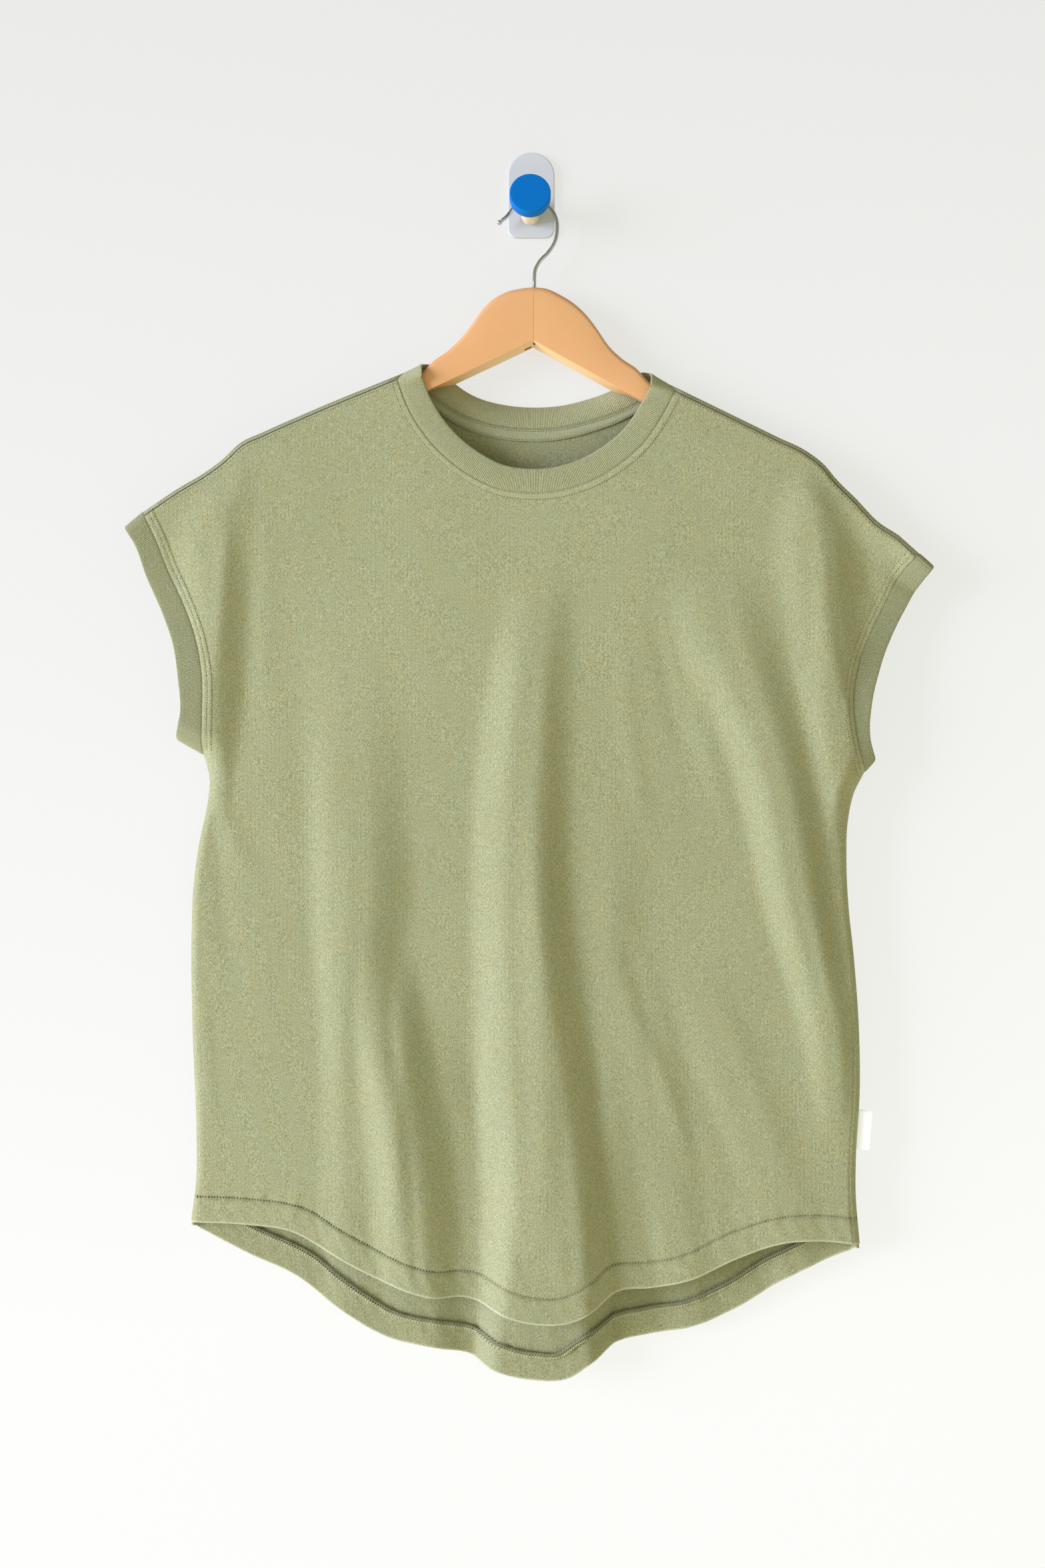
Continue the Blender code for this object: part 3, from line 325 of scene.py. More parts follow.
# %% Small creases
CREASES = {
    "front": rows_of(Crease, [
        (-236, -232, -252, -430, 4, 6, 1.3), (-222, -245, -226, -470, 3, 9, -1.2),
        (-204, -210, -214, -420, 0, 11, 0.7), (-252, -440, -205, -560, -6, 9, 1.1),
        (-250, -455, -226, -640, -4, 8, -0.9), (-190, -330, -176, -560, 4, 13, -0.8),
        (-156, -400, -152, -700, -5, 9, 1.0), (-118, -560, -160, -820, 4, 10, -0.4),
        (-96, -640, -104, -840, -3, 7, 1.0), (-66, -690, -52, -858, 2, 7, -1.3),
        (-38, -380, -42, -610, 4, 9, 0.8), (-30, -610, -38, -850, 0, 7, 1.2),
        (18, -330, 24, -600, 3, 8, -0.9), (44, -620, 56, -850, 2, 6, -1.4),
        (8, -640, -6, -800, 2, 11, -0.7), (70, -350, 96, -520, -6, 8, 0.8),
        (92, -310, 128, -470, -5, 7, -0.8), (60, -560, 110, -720, 4, 8, -0.9),
        (82, -640, 134, -800, 3, 6, 0.9), (108, -650, 170, -812, 4, 9, -0.8),
        (140, -620, 205, -800, 3, 9, 0.6), (176, -610, 226, -790, 3, 11, -0.5),
        (120, -300, 160, -520, -8, 9, 1.0), (205, -470, 232, -660, 3, 6, 1.0),
        (232, -470, 246, -560, 4, 5, -0.9), (214, -232, 222, -420, -2, 7, -1.2),
        (283, -300, 286, -328, 1, 3.0, -1.3), (262, -262, 250, -330, 4, 8, -0.9),
        (275, -280, 268, -330, 3, 6, 0.8), (250, -440, 236, -510, -4, 6, 1.0),
        (-285, -268, -268, -318, -3, 6, -0.8), (-272, -262, -258, -300, 2, 6, 0.7),
        (-240, -497, -95, -502, 2, 2.6, -0.35), (-84, -718, -196, -724, 2, 2.4, -0.3),
        (66, -604, 190, -600, 2, 2.6, -0.3), (-44, -806, -30, -838, 2, 4, 0.9),
        (-16, -800, -6, -852, 1, 5, -0.7), (22, -810, 26, -860, -2, 5, 0.8),
        (-180, -770, -192, -812, 2, 7, 0.8), (-132, -790, -126, -842, 2, 6, -0.8),
        (96, -800, 104, -850, 2, 6, 0.8), (148, -780, 160, -832, 2, 6, -0.7),
        (-262, -600, -252, -740, 3, 5, 0.9), (250, -650, 244, -780, 3, 5, -0.7),
        (-52, -630, -40, -850, 2, 12, -2.0), (6, -450, 10, -850, 0, 14, 3.2),
        (60, -440, 66, -850, 0, 20, 3.6), (-168, -230, -176, -560, 0, 38, -0.6),
        (196, -240, 206, -600, 0, 44, 2.6), (262, -292, 272, -330, -3, 3, -1.2),
        (236, -240, 258, -400, -8, 5, 1.1)]),
    "back": rows_of(Crease, [
        (-228, -240, -244, -450, 4, 8, 1.2), (-206, -230, -196, -430, -4, 9, -0.9),
        (-250, -450, -196, -590, -6, 9, 1.1), (-160, -420, -176, -700, 5, 10, -0.9),
        (-120, -480, -128, -760, -4, 9, 1.0), (-84, -600, -92, -880, 3, 8, -1.1),
        (-52, -640, -60, -900, 2, 7, 1.2), (-36, -300, -30, -560, 4, 10, -0.8),
        (34, -340, 44, -640, -4, 9, 0.9), (60, -620, 74, -880, 3, 7, -1.2),
        (100, -420, 124, -700, 5, 9, 0.9), (150, -560, 182, -820, 4, 8, -1.0),
        (196, -470, 226, -690, 3, 7, 1.0), (250, -465, 214, -600, 5, 8, -0.9),
        (214, -240, 226, -430, -3, 8, 1.2), (190, -250, 184, -420, 3, 9, -0.8),
        (-110, -230, -96, -400, 5, 12, 0.7), (110, -240, 92, -410, 5, 12, 0.7),
        (-210, -500, 30, -506, 3, 2.6, -0.35), (40, -716, 210, -712, -2, 2.6, -0.3),
        (-12, -250, -8, -420, 1, 2.6, -0.3), (-150, -820, -146, -870, 2, 6, 0.8),
        (10, -860, 14, -918, 2, 6, -0.8), (130, -830, 140, -884, 2, 6, 0.8),
        (-24, -850, -20, -915, 2, 5, 0.9), (36, -850, 34, -915, 2, 5, -0.7)]),
}
print(sum(len(rows) for rows in CREASES.values()), "small creases")


# %% [markdown]
# A table becomes a smooth form with a Hermite curve through its rows, which passes through every row
# and keeps the slope between its neighbours. Numpy works on all the points of a panel at once, which
# is many times faster than a loop over vertices.

# %% Smooth lines from tables
def hermite(knots, values, slopes, where):
    """Smooth values at any place between knots that rise."""
    place = np.clip(where, knots[0], knots[-1])
    i = np.clip(np.searchsorted(knots, place, side="right") - 1, 0, len(knots) - 2)
    span = knots[i + 1] - knots[i]
    t = (place - knots[i]) / span
    if values.ndim == 2:
        span, t = np.asarray(span)[..., None], np.asarray(t)[..., None]
    lift = t * t * (3 - 2 * t)
    leave = t * (1 - t) ** 2 * span
    arrive = t * t * (1 - t) * span
    return values[i] * (1 - lift) + values[i + 1] * lift + slopes[i] * leave - slopes[i + 1] * arrive


def distances_along(line):
    """How far along a line each of its points is."""
    return np.concatenate([[0.0], np.cumsum(np.linalg.norm(np.diff(line, axis=0), axis=1))])


def smooth_line(points):
    """A smooth line through points: its length, and a function of the distance along it."""
    knots = np.array(points, float)
    along = distances_along(knots)
    slopes = np.gradient(knots, along, axis=0)
    return along[-1], lambda distance: hermite(along, knots, slopes, np.asarray(distance, float))


def column(rows, key, value):
    """One column of a table as a smooth function of another."""
    pairs = sorted((getattr(row, key), getattr(row, value)) for row in rows)
    knots = np.array([pair[0] for pair in pairs], float)
    values = np.array([pair[1] for pair in pairs], float)
    slopes = np.gradient(values, knots)
    return lambda where: hermite(knots, values, slopes, np.asarray(where, float))


def smooth_step(share):
    t = np.clip(share, 0, 1)
    return t * t * (3 - 2 * t)


def roll(share):
    """Quarter circle, from 0 at a folded edge to 1 where the fold ends."""
    return np.sqrt(1 - (1 - np.clip(share, 0, 1)) ** 2)


def unit(vectors):
    return vectors / np.linalg.norm(vectors, axis=-1)[..., None]


# %% [markdown]
# The place of the cloth at any x and z is the sum of a few simple parts: the middle plane, the roll
# over the hanger and at the side seams, a gentle swell, the large folds and the small creases.

# %% Form of the cloth
WALL = 1.4
HEM_WALL = 2.8                   # the hem is turned up once
HEM_HEIGHT = 20.0
SIDE_GAP = 0.6                   # between the front and back panels along a side seam
TOP_ROLL = 8.4                   # radius of the cloth where it turns over the hanger
SIDE_ROLL = 7.0                  # radius of the soft fold at the side seams
SHOULDER_SEAM = 26.0             # degrees up the roll from its front, where the panels meet
SEAM_GAP_ANGLE = 5.0             # degrees between the two panels there
FADE = 16.0                      # folds and creases fade over this width beside a seam

left_height = column(LEFT_SHOULDER, "x", "z")
right_height = column(RIGHT_SHOULDER, "x", "z")
left_side_x = column(LEFT_SIDE, "z", "x")
right_side_x = column(RIGHT_SIDE, "z", "x")
middle_y = column(HANG, "z", "middle")
swell_of = {"front": column(HANG, "z", "front_out"), "back": column(HANG, "z", "back_out")}
hem_line = {"front": column(HEM, "x", "front"), "back": column(HEM, "x", "back")}
fall_x, fall_by = column(CAP_FALLS, "z", "x"), column(CAP_FALLS, "z", "fall")
FOLD_LINES = [
    {name: column(rows, "z", name) for name in ("x", "flat", "slope", "front", "back")}
    for rows in FOLDS.values()]


def shoulder_height(x):
    """Height of the shirt's top line, carried straight on across the neck."""
    left = left_height(x) + np.maximum(x - LEFT_SHOULDER[-1].x, 0) * 0.38
    right = right_height(x) + np.maximum(RIGHT_SHOULDER[0].x - x, 0) * 0.47
    return np.where(np.asarray(x) < 0, left, right)


def shoulder_slope(x):
    """Rise of the top line over one millimetre."""
    return shoulder_height(x + 0.5) - shoulder_height(x - 0.5)


def folds_at(x, z, panel):
    """How far a panel stands out in its large folds."""
    total = np.zeros_like(x)
    for line in FOLD_LINES:
        off = np.abs(x - line["x"](z)) - line["flat"](z)
        total += line[panel](z) * smooth_step(1 - off / line["slope"](z))
    return total


def creases_at(x, z, panel):
    """How far the small creases raise a panel's outer face."""
    total = np.zeros_like(x)
    if panel == "front":
        past = np.maximum(x - fall_x(z), 0)
        total -= fall_by(z) * (1 - np.exp(-past / FALL_REACH))
    for crease in CREASES[panel]:
        along = np.array([crease.x1 - crease.x0, crease.z1 - crease.z0])
        length = np.hypot(*along)
        along = along / length
        t = ((x - crease.x0) * along[0] + (z - crease.z0) * along[1]) / length
        off = (x - crease.x0) * -along[1] + (z - crease.z0) * along[0] - crease.bow * 4 * t * (1 - t)
        ends = smooth_step(t / 0.35) * smooth_step((1 - t) / 0.35)
        total += crease.rise * ends * np.exp(-(off / crease.wide) ** 2)
    return total


def from_sides(x, z):
    """Distance to the side seams, which end at the underarms."""
    above_left = np.maximum(z - LEFT_SIDE[0].z, 0)
    above_right = np.maximum(z - RIGHT_SIDE[0].z, 0)
    return np.minimum(np.hypot(x - left_side_x(z), above_left), np.hypot(right_side_x(z) - x, above_right))


def depth(x, z, panel, relief=0.0):
    """Place of a panel's outer face in front of the wall."""
    side = -1 if panel == "front" else 1
    under_shoulder = (shoulder_height(x) - z) / np.sqrt(1 + shoulder_slope(x) ** 2)
    edge = from_sides(x, z)
    radius = TOP_ROLL + (SIDE_ROLL - TOP_ROLL) * smooth_step((-230 - z) / 120)
    swell = swell_of[panel](z) * (1 - np.clip((x + 2) / 262, -1, 1) ** 2)
    fade = smooth_step(edge / FADE) * smooth_step(under_shoulder / (2 * FADE))
    stand = roll(under_shoulder / TOP_ROLL) * (radius * roll(edge / SIDE_ROLL) + SIDE_GAP / 2)
    own = swell + creases_at(x, z, panel)
    near = smooth_step(edge / SIDE_ROLL) * smooth_step(under_shoulder / 4)
    return middle_y(z) + side * (stand + own * fade + relief * near) - folds_at(x, z, panel) * fade


# %% [markdown]
# A seam shows as more than a line. The allowance is folded under and stitched down beside it, so the
# cloth stands up in a narrow band, dips at the stitches and puckers between them. The distance of
# each point from the seams gives that relief, and the same numbers give painted shading: painted shade
# in the dips and at the seam, and a painted highlight on the raised band.

# %% Seam and hem relief
NECK_STITCH = 5.0          # topstitch beside the collar
CUFF_STITCHES = (3.9, 7.4)  # the two rows beside each cuff
# width of the painted highlight along the hem's folded edge
HEM_HIGHLIGHT_WIDTH = 1.6
SEAM_SHOWS = 6.0           # the right side seam lies this far round on the front


def nearest_on(line, x, z):
    """Distance from each point to a dense line, and how far along the line that place is."""
    flat = np.stack([x.ravel(), z.ravel()], axis=1)
    along = distances_along(line)
    gap, place = np.empty(len(flat)), np.empty(len(flat))
    for start in range(0, len(flat), 4000):
        part = flat[start:start + 4000]
        square = ((part[:, None, :] - line[None, :, :]) ** 2).sum(axis=2)
        best = square.argmin(axis=1)
        gap[start:start + 4000] = np.sqrt(square[np.arange(len(part)), best])
        place[start:start + 4000] = along[best]
    return gap.reshape(x.shape), place.reshape(x.shape)


def seam_line(armhole):
    return [(row.seam_x, row.seam_z) for row in armhole]


def dense(points, step=0.8):
    length, at = smooth_line(points)
    return at(np.linspace(0, length, int(length / step)))


def beside_seam(gap, along, stitches, rise, pucker):
    """Relief and painted shading beside a seam: a raised band that dips at each row of stitches, with a
    painted highlight on the band and painted shade in the dips and at the seam.
    """
    wide = stitches[-1]
    ripple = 1 + pucker * np.sin(2 * pi * along / 6.1 + 1.7 * np.sin(along / 19)) * smooth_step(gap / 3)
    relief = rise * ripple * smooth_step((wide + 0.9 - gap) / 1.4)
    tone = 0.06 * smooth_step((wide + 0.3 - gap) / 0.8)
    for row in stitches:
        dip = np.exp(-((gap - row) / 0.7) ** 2)
        relief = relief - 0.2 * dip
        tone = tone - 0.12 * dip
    near_seam = smooth_step(1 - gap / 1.2)
    return relief - 0.5 * near_seam, tone - 0.30 * near_seam


def seam_relief(x, z, panel):
    neck = FRONT_NECK if panel == "front" else BACK_NECK
    gap, along = nearest_on(dense(neck), x, z)
    relief, tone = beside_seam(gap, along, (NECK_STITCH,), 0.35, 0.15)
    for armhole in (LEFT_ARMHOLE, RIGHT_ARMHOLE):
        gap, along = nearest_on(dense(seam_line(armhole)), x, z)
        more, shade = beside_seam(gap, along, CUFF_STITCHES, 0.45, 0.5)
        relief, tone = relief + more, tone + shade
    line = hem_line[panel]
    slope = line(x + 0.5) - line(x - 0.5)
    up = (z - line(x)) / np.sqrt(1 + slope ** 2)
    stitch = np.exp(-((up - HEM_HEIGHT) / 1.5) ** 2)
    pull = 0.34 * np.sin(x / 1.9 + 2.2 * np.sin(x / 23)) * np.exp(-((up - HEM_HEIGHT) / 6.0) ** 2)
    slant = 0.20 * np.sin((x + 0.8 * up) / 2.4 + 1.5 * np.sin(x / 31)) * smooth_step(up / 4) \
        * smooth_step((HEM_HEIGHT - up) / 4)
    relief = relief - 0.75 * stitch + pull + slant + 0.25 * smooth_step((HEM_HEIGHT - up) / 2)
    # painted shade at the hem's stitch line, and a painted highlight along its folded edge
    tone = tone - 0.22 * stitch + 0.55 * smooth_step(1 - up / HEM_HIGHLIGHT_WIDTH)
    shown = smooth_step((-620 - z) / 60) * (panel == "front")
    # where the right side seam shows on the front, a line of painted shade
    line = np.exp(-((right_side_x(z) - SEAM_SHOWS - x) / 0.8) ** 2) * shown
    return relief - 0.4 * line, tone - 0.3 * line


# %% [markdown]
# A panel is laid out as rows down and columns across, the way a knitted fabric runs, and the rows and
# columns are closest where the shape is fine: beside the neck, the armholes, the side seams and the
# hem. A plain grid cut to the outline would leave a stepped edge, so the columns follow the edges.

# %% Layout of a panel
NECK_CORNER = (0.0, 1.7, 3.5, 5.6, 8.0, 10.6, 13.5)
NECK_STEP = 4.3
SHOULDER_STEP = 3.6
EDGE_COLUMNS = (0.0, 0.2, 0.7, 1.4, 2.3, 3.2, 3.9, 4.6, 5.4, 6.3, 7.0, 7.7, 8.8, 10.4)
TOP_ROWS = (0.0, 0.07, 0.29, 0.64, 1.12, 1.74, 2.46, 3.3, 4.0, 4.5, 4.9, 5.3, 5.9, 6.8, 8.4, 10.6)
UNDERARM_ROWS = (7.0, 4.6, 2.8, 1.5, 0.6, 0.0)
HEM_ROWS = (26.0, 23.5, 22.0, 21.0, 20.3, 19.6, 18.8, 17.6, 15.5, 12.8, 9.8, 6.8, 4.0, 1.8, 0.6, 0.0)
ARMHOLE_ROWS = 54
BODY_ROWS = 104
LEFT_COLUMNS = np.arange(-287.0, LEFT_SHOULDER[-2].x - 3.0, SHOULDER_STEP)
RIGHT_COLUMNS = np.arange(RIGHT_SHOULDER[1].x + 4.0, 288.0, SHOULDER_STEP)
# SEAM_SHADE is painted shade on the cloth where it turns into the shoulder seam
SEAM_SHADE = (0.7, 0.6, 0.25)    # how dark the cloth is where it turns into the shoulder seam


def shoulder_points(xs, below):
    """Points along the shoulder, a distance below its top line."""
    slope = shoulder_slope(xs)
    length = np.sqrt(1 + slope ** 2)
    return np.stack([xs + below * slope / length, shoulder_height(xs) - below / length], axis=1)


def top_line(neck, below):
    """Top of each column of a panel: left shoulder, neckline, right shoulder."""
    length, neck_at = smooth_line(neck)
    corner = np.array(NECK_CORNER)
    count = int((length - 2 * corner[-1]) / NECK_STEP)
    middle = np.linspace(corner[-1], length - corner[-1], count)[1:-1]
    across = neck_at(np.concatenate([corner, middle, length - corner[::-1]]))
    return np.concatenate([
        shoulder_points(LEFT_COLUMNS, below), across, shoulder_points(RIGHT_COLUMNS, below)])


def edge_points(armhole, side, end, start):
    """Points down one edge of a panel: along the armhole seam, then the side seam."""
    seam_length, seam_at = smooth_line(seam_line(armhole))
    side_length, side_at = smooth_line(side[:-1] + [end])
    length = seam_length + side_length
    down = np.linspace(TOP_ROWS[-1], seam_length - UNDERARM_ROWS[0] - start, ARMHOLE_ROWS + 2)[1:-1]
    body = np.linspace(seam_length - start, length - start - HEM_ROWS[0], BODY_ROWS + 1)[1:-1]
    distances = start + np.concatenate([
        TOP_ROWS, down, [seam_length - start - up for up in UNDERARM_ROWS], body,
        [length - start - up for up in HEM_ROWS]])
    on_seam = seam_at(np.minimum(distances, seam_length))
    on_side = side_at(np.maximum(distances - seam_length, 0))
    return np.where((distances <= seam_length)[:, None], on_seam, on_side)


def edge_strip(edge, inner):
    """Narrow columns beside an edge."""
    across = np.linalg.norm(inner - edge, axis=1)
    shares = np.array(EDGE_COLUMNS)[None, :] / across[:, None]
    return edge[:, None] + (inner - edge)[:, None] * shares[..., None]


def panel_plan(panel):
    """Plan of a panel as seen from the front: rows down, columns from left to right."""
    front = panel == "front"
    below = TOP_ROLL * (1 - sin(radians(SHOULDER_SEAM))) if front else 0.0
    left = edge_points(LEFT_ARMHOLE, LEFT_SIDE, Point(HEM[0].x, getattr(HEM[0], panel)), below)
    right = edge_points(RIGHT_ARMHOLE, RIGHT_SIDE, Point(HEM[-1].x, getattr(HEM[-1], panel)), below)
    top = top_line(FRONT_NECK if front else BACK_NECK, below)
    share = (top[:, 0] - left[0, 0]) / (right[0, 0] - left[0, 0])
    hem_x = left[-1, 0] + share * (right[-1, 0] - left[-1, 0])
    bottom = np.stack([hem_x, hem_line[panel](hem_x)], axis=1)
    drop = np.linalg.norm(bottom - top, axis=1)

    down = np.linalg.norm(np.diff(left, axis=0), axis=1)
    edge_share = np.concatenate([[0], np.cumsum(down)]) / down.sum()
    rows = len(left)
    first, last = len(TOP_ROWS) - 1, rows - len(HEM_ROWS)
    even = np.linspace(0, 1, last - first + 1)
    edge_even = (edge_share[first:last + 1] - edge_share[first]) / (edge_share[last] - edge_share[first])
    near_edge = np.abs(2 * share - 1) ** 1.5
    plan = np.zeros((rows, len(top), 2))
    for row in range(rows):
        if row <= first:
            down_share = TOP_ROWS[row] * 1.08 / drop
        elif row >= last:
            down_share = 1 - HEM_ROWS[row - last] / drop
        else:
            step = even[row - first] + (edge_even[row - first] - even[row - first]) * near_edge
            start, stop = TOP_ROWS[-1] * 1.08 / drop, 1 - HEM_ROWS[0] / drop
            down_share = start + step * (stop - start)
        left_bow = left[row] - (left[0] + edge_share[row] * (left[-1] - left[0]))
        right_bow = right[row] - (right[0] + edge_share[row] * (right[-1] - right[0]))
        straight = top + down_share[:, None] * (bottom - top)
        plan[row] = straight + (1 - share)[:, None] * left_bow + share[:, None] * right_bow
    return np.concatenate([
        edge_strip(left, plan[:, 0]), plan, edge_strip(right, plan[:, -1])[:, ::-1]], axis=1)


# %% [markdown]
# The back panel comes over the shoulder to a seam a little in front of the top, so it has a few extra
# rows on each side of the neck. They lie on the roll over the hanger's arm.

# %% Panel surfaces
Surface = namedtuple("Surface", "points form faces tone edges index")


def grid_faces(index, flip):
    corners = np.stack([index[:-1, :-1], index[1:, :-1], index[1:, 1:], index[:-1, 1:]], axis=-1)
    corners = corners.reshape(-1, 4)
    return corners[:, ::-1] if flip else corners


def overlap_rows(plan):
    """The back panel's rows that come over each shoulder to the seam in front."""
    narrow = len(EDGE_COLUMNS)
    left_x = plan[0, narrow:narrow + len(LEFT_COLUMNS) + 1, 0]
    right_x = plan[0, -narrow - len(RIGHT_COLUMNS) - 1:-narrow, 0]
    rows = []
    for angle in np.arange(84.0, SHOULDER_SEAM + SEAM_GAP_ANGLE - 4.1, -5.9):
        turn = (90 - angle) / (90 - SHOULDER_SEAM)
        below = TOP_ROLL * (1 - sin(radians(angle)))
        sides = []
        for xs, end, cuff_x, armhole in (
                (left_x, FRONT_NECK[0].x, plan[0, 0, 0], LEFT_ARMHOLE),
                (right_x[::-1], FRONT_NECK[-1].x, plan[0, -1, 0], RIGHT_ARMHOLE)):
            slope = float(shoulder_slope(end))
            end_x = xs[-1] + (end - xs[-1]) * turn - below * slope / np.sqrt(1 + slope ** 2)
            inner = shoulder_points(cuff_x + (xs - cuff_x) * (end_x - cuff_x) / (xs[-1] - cuff_x), below)
            edge = smooth_line(seam_line(armhole))[1](below)
            sides.append(np.concatenate([edge_strip(edge[None], inner[:1])[0], inner]))
        across = np.concatenate([sides[0], sides[1][::-1]])
        out = middle_y(across[:, 1]) - TOP_ROLL * cos(radians(angle))
        rows.append(np.stack([across[:, 0], out, across[:, 1]], axis=1))
    return rows, len(sides[0]), len(sides[1])


def panel_surface(panel):
    """Outer face of a panel: points, faces, tone and the point numbers along its open edges."""
    plan = panel_plan(panel)
    x, z = plan[..., 0], plan[..., 1]
    relief, tone = seam_relief(x, z, panel)
    points = np.stack([x, depth(x, z, panel, relief), z], axis=-1).reshape(-1, 3)
    form = np.stack([x, depth(x, z, panel), z], axis=-1).reshape(-1, 3)
    index = np.arange(x.size).reshape(x.shape)
    faces = [grid_faces(index, panel == "back")]
    neck = slice(len(EDGE_COLUMNS) + len(LEFT_COLUMNS), -len(EDGE_COLUMNS) - len(RIGHT_COLUMNS))
    underarm = len(TOP_ROWS) + ARMHOLE_ROWS + len(UNDERARM_ROWS)
    edges = {"neck": list(index[0, neck]), "left": list(index[:underarm, 0]),
             "right": list(index[:underarm, -1]), "left over": [], "right over": [],
             "left neck over": [], "right neck over": []}
    if panel == "front":
        # painted shade along the front's top rows, at the shoulder seam
        tone[:3, :neck.start] -= np.array(SEAM_SHADE)[:, None]
        tone[:3, neck.stop:] -= np.array(SEAM_SHADE)[:, None]
    tone = tone.ravel()
    if panel == "back":
        extra, left_width, right_width = overlap_rows(plan)
        last_left, last_right = index[0, :left_width], index[0, -right_width:]
        for row in extra:
            left = np.arange(len(points), len(points) + left_width)
            right = left[-1] + 1 + np.arange(right_width)
            points, form = np.concatenate([points, row]), np.concatenate([form, row])
            faces.append(grid_faces(np.stack([left, last_left]), True))
            faces.append(grid_faces(np.stack([right, last_right]), True))
            last_left, last_right = left, right
            edges["left over"].append(left[0])
            edges["right over"].append(right[-1])
            edges["left neck over"].append(left[-1])
            edges["right neck over"].append(right[0])
        tone = np.concatenate([tone, np.zeros(len(points) - len(tone))])
        # painted shade on the back's last rows at the shoulder seam
        tone[last_left] -= SEAM_SHADE[0]
        tone[last_right] -= SEAM_SHADE[0]
    return Surface(points, form, np.concatenate(faces), tone, edges, index)


front_surface = panel_surface("front")
back_surface = panel_surface("back")
for name, surface in (("front", front_surface), ("back", back_surface)):
    print(name, "panel:", len(surface.points), "points,", len(surface.faces), "faces")


# %% [markdown]
# Each surface becomes a mesh, and a Solidify modifier gives it its wall, to the inside, so the outer
# face stays where the solids have it. A vertex group makes the wall twice as thick along the hem,
# where the cloth is turned up. The modifiers are applied, so that each piece is a plain mesh.

# %% Cloth panels
def mesh_piece(name, points, faces, material, tone=None, replaces=()):
    """A smooth mesh piece from points in millimetres, riding on the part's one body."""
    mesh = bpy.data.meshes.new(name)
    mesh.from_pydata((np.asarray(points) * MM).tolist(), [], np.asarray(faces).tolist()
                     if isinstance(faces, np.ndarray) else faces)
    mesh.update()
    mesh.shade_smooth()
    mesh.materials.append(material)
    if tone is not None:
        mesh.attributes.new("tone", "FLOAT", "POINT").data.foreach_set("value", tone.astype(np.float32))
    made = bpy.data.objects.new(name, mesh)
    scene.collection.objects.link(made)
    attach(made, "root")
    if replaces:
        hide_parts(*replaces)
    return made


def apply_modifiers(piece):
    """The mesh as its modifiers show it, kept as the piece's own."""
    seen = piece.evaluated_get(bpy.context.evaluated_depsgraph_get())
    shown = bpy.data.meshes.new_from_object(seen)
    piece.modifiers.clear()
    old = piece.data
    piece.data = shown
    bpy.data.meshes.remove(old)
    return piece


def face_out(made):
    bm = bmesh.new()
    bm.from_mesh(made.data)
    bmesh.ops.recalc_face_normals(bm, faces=bm.faces)
    bm.to_mesh(made.data)
    bm.free()


def surface_area(piece):
    bm = bmesh.new()
    bm.from_mesh(piece.data)
    area = sum(face.calc_area() for face in bm.faces)
    bm.free()
    return area


def paint_shade_inside(made, outer_count):
    """Painted shade on the inner face of the jersey: a little all over, most inside the neck."""
    tone = np.zeros(len(made.data.vertices), np.float32)
    height = np.zeros(3 * len(tone), np.float32)
    made.data.attributes["tone"].data.foreach_get("value", tone)
    made.data.vertices.foreach_get("co", height)
    level = height[2::3][outer_count:] / MM
    tone[outer_count:] -= 0.06 + 0.16 * smooth_step((level + 260) / 50)
    made.data.attributes["tone"].data.foreach_set("value", tone)


def cloth_panel(name, surface):
    made = mesh_piece(name + "_cloth", surface.points, surface.faces, jersey,
                      surface.tone, [name])
    wall = made.vertex_groups.new(name="wall")
    wall.add(list(range(len(surface.points))), WALL / HEM_WALL, "REPLACE")
    turned = [int(i) for i in surface.index[-len(HEM_ROWS) + 4:].ravel()]
    wall.add(turned, 1.0, "REPLACE")
    thicken = made.modifiers.new("wall", "SOLIDIFY")
    thicken.thickness = HEM_WALL * MM
    thicken.offset = -1
    thicken.vertex_group = wall.name
    apply_modifiers(made)
    paint_shade_inside(made, len(surface.points))
    area = surface_area(made) / 2
    triangles = sum(len(face.vertices) - 2 for face in made.data.polygons)
    print(f"{made.name}: {triangles} triangles, {area:.4f} square metres of cloth")
    return made


front_cloth = cloth_panel("front", front_surface)
back_cloth = cloth_panel("back", back_surface)


# %% [markdown]
# The hanger is two flat arms of pale hardwood, finger-jointed at the middle, with every edge rounded
# over but the underside, which is bare, crisp in front and falls a little to the back inside the neck.
# Each arm is lofted through sections from the joint to the tip, finer than the solid, and its grain
# runs along it, so each arm has its own material. Painted shading at each point puts painted shade
# round the top edge and where the bare underside goes in under the collar, darkens the joint, and
# paints a highlight on the bare underside, and three dark slivers show the open ends of the finger joint.

# %% Wooden hanger
LEAN = radians(3.0)
HOOK_DEPTH = 12.0
HOOK_TOP = -7.0
HOOK_RADIUS = 20.0
WIRE = 3.0
TIP_RADIUS = 2.0
WOOD_HALF = 6.0
JOINT_GAP = 0.1
WOOD_MIDDLE = 1.7
WOOD_DROP = 2.1
TIP_DROP = 3.0
WOOD_CORNER = 5.6
EDGE_CORNER = 0.6                # the underside's crisp edge inside the neck
UNDER_FALL = 3.0                 # there the underside falls this far from front to back
ARM_DEPTH = 21.5
ARM_SLOPE = radians(27.5)
ARM_TIP = 232.0
TIP_ROUND = 9.0                  # the last part of an arm, which is rounded off
TIP_STEPS = ((4.0, 2.4), (1.2, 5.6), (0.0, 8.6))
COVERED = (82, 14)               # reach where the cloth starts to cover an arm, and over how much
BARE = (60, 20)                  # reach where the bare underside ends, and over how much
UNDERSIDE_SLOPE = 0.93           # of the underside at the joint, as a share of the arm's
SLIT_LOW, SLIT_HIGH = 0.14, 0.3  # how far a joint slit stands out of the wood and goes into it
JOINT_SLITS = [                  # from x, to x, place through the wood and width, both as shares
    (-5.0, 0.2, 0.70, 0.16), (1.6, 3.2, 0.38, 0.24), (3.2, 6.8, 0.44, 0.13)]
